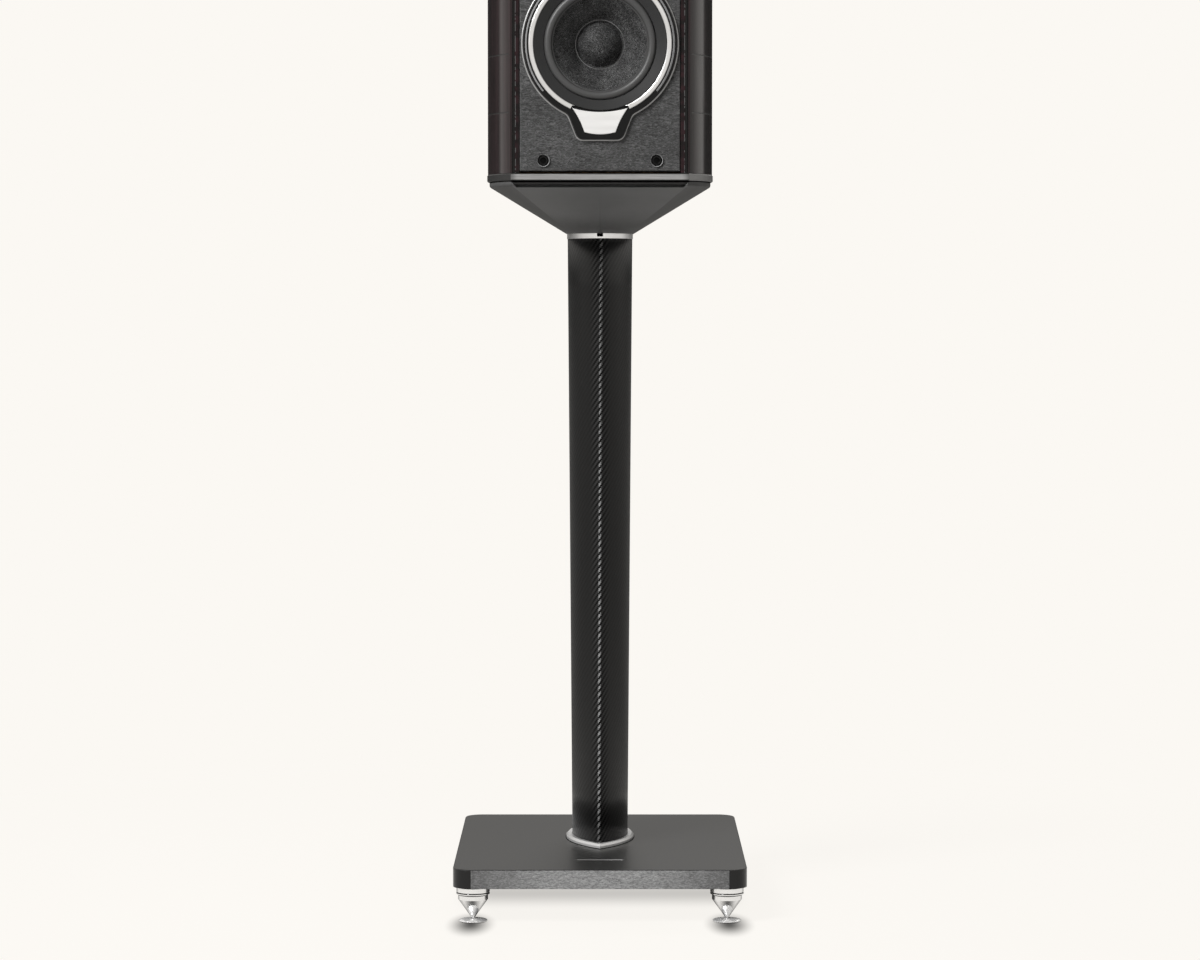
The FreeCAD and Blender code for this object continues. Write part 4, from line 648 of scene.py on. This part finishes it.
SLOT_FINISHES = [base_black, chrome, steel, carbon, neck_grey, plate_metal, baffle_leather,
                 cabinet_wood, strip_wood, inlay, inner_wood, wadding, trim_black, bright_ring,
                 cone_paper, rubber, cast_basket, magnet_steel, copper, spider_cloth, silk,
                 port_plastic, terminal_metal, circuit, capacitor_film]
# variants of a slot's finish, for pieces and nodes that share a slot but not a look
VARIANTS = [strip_dark, spike_chrome, disc_satin, ring_satin, ring_bright, line_metal, glue_dots,
            socket_black, socket_rim, label_silver, gap_black]
NODE_VARIANTS = {"neck_front_strip": "strip_dark", "column_foot_ring": "ring_satin",
                 "column_head_ring": "ring_bright", "grille_sockets": "socket_black",
                 "woofer_label_plate": "label_silver"}
for corner in CORNERS:
    NODE_VARIANTS[f"spike_{corner}"] = NODE_VARIANTS[f"lock_ring_{corner}"] = "spike_chrome"
finishes = {maker.__name__: maker() for maker in SLOT_FINISHES + VARIANTS}
slot_of = {part["node"]: part["material_slot"] for part in frame["record"]["subparts"]}


def paint(thing, finish):
    thing.data.materials.clear()
    thing.data.materials.append(finishes[finish])


for node, thing in frame["nodes"].items():
    paint(thing, NODE_VARIANTS.get(node, slot_of[node]))


# ------------------------------------------------------------------ mesh helpers
def new_mesh(name, points, faces, slot, body=ROOT, finish=None):
    mesh = bpy.data.meshes.new(name)
    mesh.from_pydata(points, [], faces)
    mesh.update()
    thing = bpy.data.objects.new(name, mesh)
    bpy.context.scene.collection.objects.link(thing)
    for face in mesh.polygons:
        face.use_smooth = True
    paint(thing, finish or slot)
    if body:
        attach(thing, body)
    return thing


def bands(rows, count, closed=False):
    """Faces between neighbouring rows of points, each row a loop of as many points."""
    faces = []
    for row in range(rows if closed else rows - 1):
        here, there = row * count, (row + 1) % rows * count
        for point in range(count):
            after = (point + 1) % count
            faces.append((here + point, here + after, there + after, there + point))
    return faces


def tidy_mesh(thing):
    """Drops doubled points and faces without area, and turns every face outwards."""
    same_place, no_length = 2e-6, 1e-6
    sharp = math.radians(38)
    work = bmesh.new()
    work.from_mesh(thing.data)
    bmesh.ops.remove_doubles(work, verts=work.verts, dist=same_place)
    bmesh.ops.dissolve_degenerate(work, dist=no_length, edges=work.edges)
    bmesh.ops.recalc_face_normals(work, faces=work.faces)
    for edge in work.edges:
        if len(edge.link_faces) == 2 and edge.calc_face_angle() > sharp:
            edge.smooth = False
    work.to_mesh(thing.data)
    work.free()


def stack(name, outlines, slot, finish=None, body=ROOT):
    """A closed piece through outlines of as many points each, from the lowest to the highest."""
    count = len(outlines[0])
    faces = [tuple(reversed(range(count)))] + bands(len(outlines), count)
    faces.append(tuple(range((len(outlines) - 1) * count, len(outlines) * count)))
    points = [point for outline in outlines for point in outline]
    thing = new_mesh(name, points, faces, slot, body, finish)
    tidy_mesh(thing)
    return thing


def circle(x, y, z, radius, steps=48):
    turns = [2 * math.pi * step / steps for step in range(steps)]
    return [(x + radius * math.cos(turn), y + radius * math.sin(turn), z) for turn in turns]


# ------------------------------------------------------------------ column
def make_column():
    """The carbon tube with its tips rounded and its weave laid along the surface."""
    node = frame["nodes"]["column_tube"]
    low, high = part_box("column_tube")
    foot = [v.co for v in node.data.vertices if v.co.z < low.z + MM]
    half_low = max(point.x for point in foot)
    tip_low = (max(point.y for point in foot) - min(point.y for point in foot)) / 2
    middle = (high.y + low.y) / 2
    flare = high.x - half_low
    bow = (half_low ** 2 + tip_low ** 2) / (2 * half_low)
    offset = bow - half_low
    tip_radius = 1.6 * MM
    side_steps, tip_steps, rings = 56, 6, 12

    def section(share):
        """Points round the column from its front tip, on its right side, to its rear tip."""
        radius = bow + flare * share
        centre = math.sqrt((radius - tip_radius) ** 2 - offset ** 2)
        reach = math.atan2(centre, offset)
        points = []
        for step in range(tip_steps):
            turn = reach + (math.pi / 2 - reach) * (1 - step / tip_steps)
            points.append((tip_radius * math.cos(turn), -centre - tip_radius * math.sin(turn)))
        for step in range(side_steps + 1):
            turn = -reach + 2 * reach * step / side_steps
            points.append((-offset + radius * math.cos(turn), radius * math.sin(turn)))
        for step in range(1, tip_steps + 1):
            turn = reach + (math.pi / 2 - reach) * step / tip_steps
            points.append((tip_radius * math.cos(turn), centre + tip_radius * math.sin(turn)))
        return points

    points = []
    for ring in range(rings + 1):
        share = ring / rings
        right = section(share)
        left = [(-x, y) for x, y in reversed(right[1:-1])]
        z = low.z + (high.z - low.z) * share
        points += [(x, y + middle, z) for x, y in right + left]
    around = len(points) // (rings + 1)
    faces = bands(rings + 1, around) + [tuple(reversed(range(around)))]
    faces.append(tuple(range(rings * around, (rings + 1) * around)))
    column = new_mesh("column_shell", points, faces, "carbon")
    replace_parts(column, "column_tube")
    mesh = column.data
    for cap in mesh.polygons[-2:]:
        cap.use_smooth = False
    # distance round the section from the front tip, plus to the right and minus to the left
    outline = [Vector((x, y)) for x, y in section(0.5)]
    along = [0.0]
    for before, after in zip(outline, outline[1:]):
        along.append(along[-1] + (after - before).length)
    signed = along + [-distance for distance in reversed(along[1:-1])]
    rear_tip = len(along) - 1
    layer = mesh.uv_layers.new(name="weave")
    for face in mesh.polygons:
        vertices = {i: mesh.loops[i].vertex_index for i in face.loop_indices}
        rear_left = any(signed[vertex % around] < -0.5 * along[-1] for vertex in vertices.values())
        for i, vertex in vertices.items():
            distance = signed[vertex % around]
            if rear_left and vertex % around == rear_tip:
                distance = -distance
            layer.data[i].uv = (distance, mesh.vertices[vertex].co.z)


make_column()


# ------------------------------------------------------------------ drivers
# places in the frame, in metres
FACE_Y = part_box("front_baffle")[0].y
WOOFER_Z = 0.9306
TWEETER_Z = 1.070

# radii and depths of the woofer's cone and cap, in mm, with depths measured from the baffle
COIL_R = 19.2
CONE_R = 50.4
CONE_EDGE = -1.2
CONE_DEPTH = 25
CONE_NECK = CONE_EDGE - CONE_DEPTH
CONE_BULGE = 2.6
CAP_R = 23.3


def turned(radius, height, turn, z, x=0.0):
    """A place at a radius from an axis along Y, and at a height in front of the baffle."""
    return (x + radius * MM * math.cos(turn), FACE_Y - height * MM,
            z + radius * MM * math.sin(turn))


def lathe(name, profile, z, slot, body=ROOT, node=None, start=0.0, sweep=360.0, steps=120,
          finish=None, x=0.0):
    """A closed profile of (radius, height in front of the baffle), turned about an axis along Y."""
    full = sweep >= 360
    columns = steps if full else steps + 1
    points = []
    for step in range(columns):
        turn = math.radians(start + sweep * step / steps)
        points += [turned(radius, height, turn, z, x) for radius, height in profile]
    count = len(profile)
    faces = bands(columns, count, full)
    if not full:
        faces.append(tuple(range(count)))
        faces.append(tuple(reversed(range((columns - 1) * count, columns * count))))
    thing = new_mesh(name, points, faces, slot, body, finish)
    tidy_mesh(thing)
    if node:
        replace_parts(thing, node)
    return thing


def arc(middle_r, middle_h, reach, height, start, stop, steps):
    """Points of an ellipse arc about (middle_r, middle_h), with angles in degrees."""
    points = []
    for step in range(steps + 1):
        turn = math.radians(start + (stop - start) * step / steps)
        points.append((middle_r + reach * math.cos(turn), middle_h + height * math.sin(turn)))
    return points


def dome(radius, crown, foot, steps):
    """Points of a ball's cap from its crown out to its rim, which is at the foot."""
    ball = (radius ** 2 + crown ** 2) / (2 * crown)
    outs = [radius * step / steps for step in range(steps + 1)]
    return [(out, foot + crown - ball + math.sqrt(ball ** 2 - out ** 2)) for out in outs]


def cone_height(radius):
    share = (radius - COIL_R) / (CONE_R - COIL_R)
    return CONE_NECK + CONE_DEPTH * share + 4 * CONE_BULGE * share * (1 - share)


def make_cone():
    steps = 24
    thickness = 0.9
    radii = [COIL_R + (CONE_R - COIL_R) * step / steps for step in range(steps + 1)]
    front = [(radius, cone_height(radius)) for radius in radii]
    back = [(radius, height - thickness) for radius, height in reversed(front)]
    lathe("woofer_cone_paper", front + back, WOOFER_Z, "cone_paper", "woofer_moving", "woofer_cone")


def make_dust_dome():
    """The dust cap, with a lip that lies on the cone."""
    crown, thickness = 12.5, 0.6
    above_cone = 0.3
    rim = cone_height(CAP_R) + above_cone
    over = dome(CAP_R, crown, rim, 20)
    under = [(out, height - thickness) for out, height in reversed(over[1:])]
    lip_out = 25.2
    lip = cone_height(lip_out) + above_cone
    over += [(23.7, rim + 0.25), (24.4, rim + 0.75), (lip_out, lip + 0.45), (lip_out, lip)]
    profile = over + [(CAP_R, rim - 0.2)] + under + [(0, rim + crown - thickness)]
    lathe("woofer_dust_cap", profile, WOOFER_Z, "cone_paper", "woofer_moving", "woofer_dust_dome")


def make_cap_ring():
    """The dotted line of glue round the dust cap."""
    dots = 64
    steps = dots * 4
    line, bead = 0.12, 0.5
    foot = cone_height(25.6) + 0.1
    points = []
    for step in range(steps):
        turn = 2 * math.pi * step / steps
        top = foot + line + bead * abs(math.sin(turn * dots / 2))
        section = [(25.3, foot), (25.5, top), (26.1, top), (26.4, foot)]
        points += [turned(radius, height, turn, WOOFER_Z) for radius, height in section]
    faces = bands(steps, len(section), True)
    tidy_mesh(new_mesh("woofer_cap_ring", points, faces, "cone_paper", "woofer_moving",
                       finish="glue_dots"))


def surround_section():
    """Inner lip, half roll and outer lip, with the rubber's thickness."""
    top, thickness, roll = -0.3, 0.8, 4.2
    roll_out, inner, outer = 59, 49.4, 63
    middle, reach = (CONE_R + roll_out) / 2, (roll_out - CONE_R) / 2
    low = top - thickness
    over = [(inner, top)] + arc(middle, top, reach, roll, 180, 0, 18) + [(outer, top)]
    under = arc(middle, low, reach - thickness, roll, 0, 180, 18)
    return over + [(outer, low)] + under + [(inner, low)]


def make_surround():
    """The surround, as wedges round its axis."""
    wedges = 24
    for wedge in range(wedges):
        start = 360 * wedge / wedges
        piece = lathe(f"woofer_surround_{wedge + 1:02d}", surround_section(), WOOFER_Z, "rubber",
                      None, "woofer_surround", start, 360 / wedges, 5)
        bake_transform(piece)


def make_tweeter_dome():
    """The silk dome and the small half roll round it."""
    radius, crown, roll = 14, 5.5, 1.5
    foot, thickness = -0.6, 0.4
    over = dome(radius, crown, foot, 16)
    over += arc(radius + roll, foot, roll, roll, 180, 0, 10)[1:]
    under = [(out - 0.02, height - thickness) for out, height in reversed(over[1:])]
    profile = over + under + [(0, foot + crown - thickness)]
    lathe("tweeter_dome_silk", profile, TWEETER_Z, "silk", "tweeter_moving", "tweeter_dome")


def trim_outline(samples):
    """Radius of the woofer trim's outline by angle, from the rim of its solid."""
    vertices = frame["nodes"]["woofer_trim"].data.vertices
    corners = [(v.co.x, v.co.y, v.co.z - WOOFER_Z) for v in vertices]
    rim_y = max(corners, key=lambda corner: math.hypot(corner[0], corner[2]))[1]
    inside = 80.8 * MM
    rim = sorted((math.atan2(z, x), x, z) for x, y, z in corners
                 if abs(y - rim_y) < 0.02 * MM and math.hypot(x, z) > inside)
    radii, place = [], 0
    for step in range(samples):
        turn = -math.pi + 2 * math.pi * (step + 0.5) / samples
        while place < len(rim) and rim[place][0] < turn:
            place += 1
        (_, x1, z1), (_, x2, z2) = rim[place - 1], rim[place % len(rim)]
        across = math.cos(turn) * (z2 - z1) - math.sin(turn) * (x2 - x1)
        radii.append((turn, (x1 * (z2 - z1) - z1 * (x2 - x1)) / across / MM))
    return radii


def make_trim_highlight():
    """Thin bright line where the trim meets the leather, a painted highlight of the leather's edge.
    """
    samples = 720
    section = [(-0.3, 0.0), (1.3, 0.0), (1.2, 0.5), (0.6, 0.9), (-0.3, 1.0)]
    points = []
    for turn, rim in trim_outline(samples):
        points += [turned(rim + out, height, turn, WOOFER_Z) for out, height in section]
    faces = bands(samples, len(section), True)
    # Painted highlight: a light line along the trim's outline.
    tidy_mesh(new_mesh("woofer_trim_highlight", points, faces, "trim_black", finish="line_metal"))


def make_trim_rings():
    """A bevel round most of the trim's opening, painted light grey as a highlight, and a near-black
    ring in the gap beside the surround, a painted shadow of the roll.
    """
    bevel = [(76.7, 4.9), (76.8, 5.3), (77.2, 5.5), (78.6, 5.05), (78.7, 4.9)]
    # Painted highlight: the trim's bevel takes a light grey.
    lathe("woofer_trim_bevel", bevel, WOOFER_Z, "trim_black", start=-40, sweep=260, steps=100,
          finish="socket_rim")
    # Painted shadow: a near-black ring beside the surround's roll.
    gap_shade = [(59.1, -0.2), (59.3, 0.15), (61.5, 0.15), (61.8, -0.2)]
    lathe("woofer_gap_shade", gap_shade, WOOFER_Z, "rubber", finish="gap_black")


def make_socket_rims():
    """Raised rims of the grille sockets, sloping inwards and painted light grey as a highlight, and
    flat black rings inside them, painted shade of a groove.
    """
    low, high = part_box("grille_sockets")
    rim = 6.75
    top = (FACE_Y - low.y) / MM
    foot = top - 0.1
    section = [(5.9, foot), (5.9, top + 0.02), (6.65, top + 0.85), (rim, top + 0.7), (rim, foot)]
    groove = [(4.4, foot), (4.4, top + 0.04), (5.9, top + 0.04), (5.9, foot)]
    inset = rim * MM
    places = [(x, z) for z in (low.z + inset, high.z - inset)
              for x in (low.x + inset, high.x - inset)]
    for number, (x, z) in enumerate(places, 1):
        # Painted highlight: each socket's rim takes a light grey.
        lathe(f"grille_highlight_rim_{number}", section, z, "trim_black", steps=48, finish="socket_rim", x=x)
        # Painted shade: a flat black ring inside each rim, for the shade of a groove.
        lathe(f"grille_groove_shade_{number}", groove, z, "trim_black", steps=48, finish="gap_black",
              x=x)


make_cone()
make_dust_dome()
make_surround()
make_tweeter_dome()
make_trim_highlight()
make_trim_rings()
make_cap_ring()
make_socket_rims()


# ------------------------------------------------------------------ base and rings
def make_base_line():
    """Bare inlay with round ends on top of the base."""
    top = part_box("base_plate")[1].z
    y, half, radius = -0.134, 25 * MM, 1.7 * MM
    bedded, proud, slope = 0.5 * MM, 0.12 * MM, 0.2 * MM

    def outline(inset, z):
        points = []
        for end in (1, -1):
            for step in range(9):
                turn = math.pi * (step / 8 - 0.5) + (0 if end > 0 else math.pi)
                points.append((end * (half - radius) + (radius - inset) * math.cos(turn),
                               y + (radius - inset) * math.sin(turn), z))
        return points

    outlines = [outline(0, top - bedded), outline(0, top), outline(slope, top + proud)]
    stack("base_line", outlines, "plate_metal", "line_metal")


def make_floor_discs():
    """Discs under the spikes, crowned on top and rounded underneath, with a cup for the point."""
    low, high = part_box("floor_discs")
    rim = 15.3
    reach = (high.x - rim * MM, high.y - rim * MM)
    section = [(11.8, 0), (13.4, 0.15), (14.7, 0.8), (rim, 1.8), (15.2, 2.3), (14.4, 2.8),
               (12, 3.3), (9, 3.7), (6, 3.95), (2.5, 4.0), (2.3, 3.9), (1.8, 3.35), (0.8, 3.2)]
    for number, (side, end) in enumerate(((-1, -1), (1, -1), (-1, 1), (1, 1)), 1):
        rings = [circle(side * reach[0], end * reach[1], low.z + height * MM, radius * MM)
                 for radius, height in section]
        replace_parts(stack(f"floor_disc_{number}", rings, "chrome", "disc_satin"), "floor_discs")


def make_lock_flanges():
    """Collars in place of the lock rings, wider and with two grooves."""
    section = [(8.6, 16.1), (7.6, 16.2), (7.3, 17.8), (6.3, 17.8), (6.1, 16.6), (5.2, 16.6),
               (5.0, 17.8), (0.2, 17.8), (0, 17.4)]
    for corner in CORNERS:
        low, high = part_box(f"lock_ring_{corner}")
        x, y = (low.x + high.x) / 2, (low.y + high.y) / 2
        rings = [circle(x, y, high.z - drop * MM, radius * MM) for drop, radius in section]
        flange = stack(f"lock_flange_{corner}", rings, "chrome", "spike_chrome", f"foot_{corner}")
        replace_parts(flange, f"lock_ring_{corner}")


def make_foot_shadow_line():
    """Black line all round the foot ring, a painted shadow where the ring meets the base."""
    low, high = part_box("column_foot_ring")
    middle = (high.y + low.y) / 2
    steps = 40
    wider, thickness = 0.8 * MM, 0.45 * MM

    def outline(out, z):
        half, reach = high.x + out, (high.y - low.y) / 2 + 2 * out
        bow = (half ** 2 + reach ** 2) / (2 * half)
        turns = [math.asin(reach / bow) * (2 * step / steps - 1) for step in range(steps + 1)]
        right = [(half - bow + bow * math.cos(turn), middle + bow * math.sin(turn), z)
                 for turn in turns]
        return right + [(-x, y, z) for x, y, z in reversed(right[1:-1])]

    # Painted shadow: a thin near-black band out from the ring's lower edge.
    stack("foot_ring_shadow_line", [outline(wider, low.z), outline(wider, low.z + thickness)],
          "neck_grey", "gap_black")


def make_notch_shade():
    """Black sheet on the wall of the notch in the head ring's front point, painted shade in the
    notch.
    """
    low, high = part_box("column_head_ring")
    depth, below_top = 3.5 * MM, 0.1 * MM
    half_angle, steps = 62, 16

    def outline(z):
        points = []
        for radius, way in ((3.76 * MM, 1), (3.3 * MM, -1)):
            for step in range(steps + 1):
                turn = math.radians(90 + way * half_angle * (1 - 2 * step / steps))
                points.append((radius * math.cos(turn), low.y + radius * math.sin(turn), z))
        return points

    # Painted shade: a near-black sheet over the notch's wall.
    stack("head_ring_notch_shade", [outline(high.z - depth), outline(high.z - below_top)],
          "trim_black", "gap_black")


make_base_line()
make_floor_discs()
make_lock_flanges()
make_foot_shadow_line()
make_notch_shade()


# ------------------------------------------------------------------ floor, light and camera
def studio_strength(studio):
    """The backdrop's strength: 1, but near 0 for gloss in a low part of it behind the object."""
    axes = studio.axes(studio.coordinates("Generated"))
    strength = studio.node("ShaderNodeLightPath").outputs["Is Camera Ray"]
    lean = 0.07
    depth = studio.math("SUBTRACT", axes["Y"], studio.math("MULTIPLY", axes["X"], lean))
    in_front = studio.fade(depth, 0.61, 0.71, 1.0, 0.03)
    above = studio.fade(axes["Z"], 0.05, 0.45, 0.0, 1.0)
    for part in (in_front, above):
        strength = studio.math("MAXIMUM", strength, part)
    return strength


def make_world():
    world = bpy.data.worlds.new("studio")
    bpy.context.scene.world = world
    world.use_nodes = True
    studio = Nodes(world.node_tree)
    studio.tree.nodes.clear()
    warm_white = (1, 0.99, 0.97, 1)
    light = studio.node("ShaderNodeBackground", {"Color": warm_white, "Strength": 0.08})
    strength = studio_strength(studio)
    backdrop = studio.node("ShaderNodeBackground", {"Color": BACKGROUND, "Strength": strength})
    shown = studio.between(studio.seen_directly(), light.outputs[0], backdrop.outputs[0])
    studio.node("ShaderNodeOutputWorld", {"Surface": shown})


def floor_shade(studio):
    """How far the floor is darkened, from 0 to 1.

    It is darker under the base and round each foot, and in gloss also wherever the base covers it
    and far behind the object.
    """
    axes = studio.axes(studio.coordinates("Object"))
    away_x = studio.math("ABSOLUTE", axes["X"])
    away_y = studio.math("ABSOLUTE", axes["Y"])
    inside = studio.fade(away_x, 0.12, 0.165, 1.0, 0.0)
    under = studio.math("MULTIPLY", inside, studio.fade(away_y, 0.0, 0.11, 0.37, 0.0))
    foot_x, foot_y = 0.137, 0.2
    reach_x, reach_y = 0.03, 0.085
    out_x = studio.math("DIVIDE", studio.math("SUBTRACT", away_x, foot_x), reach_x)
    out_y = studio.math("DIVIDE", studio.math("SUBTRACT", away_y, foot_y), reach_y)
    squares = studio.math("ADD", studio.math("MULTIPLY", out_x, out_x),
                          studio.math("MULTIPLY", out_y, out_y))
    foot = studio.fade(studio.math("SQRT", squares), 0.0, 1.0, 0.88, 0.0)
    covered = studio.math("MULTIPLY", inside, studio.fade(axes["Y"], -0.17, -0.12, 0.0, 0.92))
    covered = studio.math("MULTIPLY", covered, studio.fade(axes["Y"], 0.19, 0.22, 1.0, 0.0))
    covered = studio.math("MAXIMUM", covered, studio.fade(axes["Y"], 0.45, 0.9, 0.0, 0.7))
    gloss = studio.node("ShaderNodeLightPath").outputs["Is Glossy Ray"]
    in_gloss = studio.math("MULTIPLY", covered, gloss)
    return studio.math("MAXIMUM", in_gloss, studio.math("MAXIMUM", under, foot))


def make_floor():
    """A pale floor that meets the background without a line, and keeps the object's shadow."""
    size = 30
    corners = [(-size, -size, 0), (size, -size, 0), (size, size, 0), (-size, size, 0)]
    mesh = bpy.data.meshes.new("floor")
    mesh.from_pydata(corners, [], [(0, 1, 2, 3)])
    floor = bpy.data.objects.new("floor", mesh)
    bpy.context.scene.collection.objects.link(floor)
    material = bpy.data.materials.new("floor")
    material.use_nodes = True
    floor.data.materials.append(material)
    studio = Nodes(material.node_tree)
    studio.tree.nodes.clear()
    seen = studio.seen_directly()
    bounced, direct = (0.46, 0.455, 0.445, 1), (0.07, 0.069, 0.067, 1)
    own_light = 0.95
    matte = studio.node("ShaderNodeBsdfDiffuse", {"Color": studio.mix(seen, bounced, direct)})
    glow = studio.glow(studio.math("MULTIPLY", seen, own_light))
    near = studio.node("ShaderNodeAddShader", {0: matte.outputs[0], 1: glow})
    reach = studio.node("ShaderNodeVectorMath", {0: studio.coordinates("Object")},
                        operation="LENGTH")
    far = studio.fade(reach.outputs["Value"], 0.35, 1.1, 0.0, 1.0)
    away = studio.math("MULTIPLY", far, seen)
    lit = studio.between(away, near.outputs[0], studio.glow(1.0))
    shaded = studio.between(floor_shade(studio), lit, studio.glow(0.0))
    studio.node("ShaderNodeOutputMaterial", {"Surface": shaded})


def softbox(name, place, target, width, height, power):
    lamp = bpy.data.lights.new(name, "AREA")
    lamp.shape = "RECTANGLE"
    lamp.size = width
    lamp.size_y = height
    lamp.energy = power
    thing = bpy.data.objects.new(name, lamp)
    thing.location = place
    aim = Vector(target) - Vector(place)
    thing.rotation_euler = aim.to_track_quat("-Z", "Y").to_euler()
    bpy.context.scene.collection.objects.link(thing)


def make_camera():
    distance, height = 4.0366, 0.6827
    tilt_down = 3.139
    camera = bpy.data.cameras.new("camera")
    camera.lens = 109.41
    camera.sensor_width = 36
    camera.clip_end = 100
    thing = bpy.data.objects.new("camera", camera)
    thing.location = (0, -distance, height)
    thing.rotation_euler = (math.radians(90 - tilt_down), 0, 0)
    bpy.context.scene.collection.objects.link(thing)
    bpy.context.scene.camera = thing


make_world()
make_floor()
softbox("key", (-2.15, -2.35, 2.95), (0, 0, 0.7), width=1.5, height=1.5, power=152)
softbox("fill", (1.5, -3.6, 1.5), (0, 0, 0.6), width=1.4, height=1.8, power=7)
softbox("rear", (0.5, 3.0, 3.3), (0, 0, 0.7), width=1.6, height=1.6, power=40)
make_camera()
bpy.context.scene.view_settings.view_transform = "Standard"
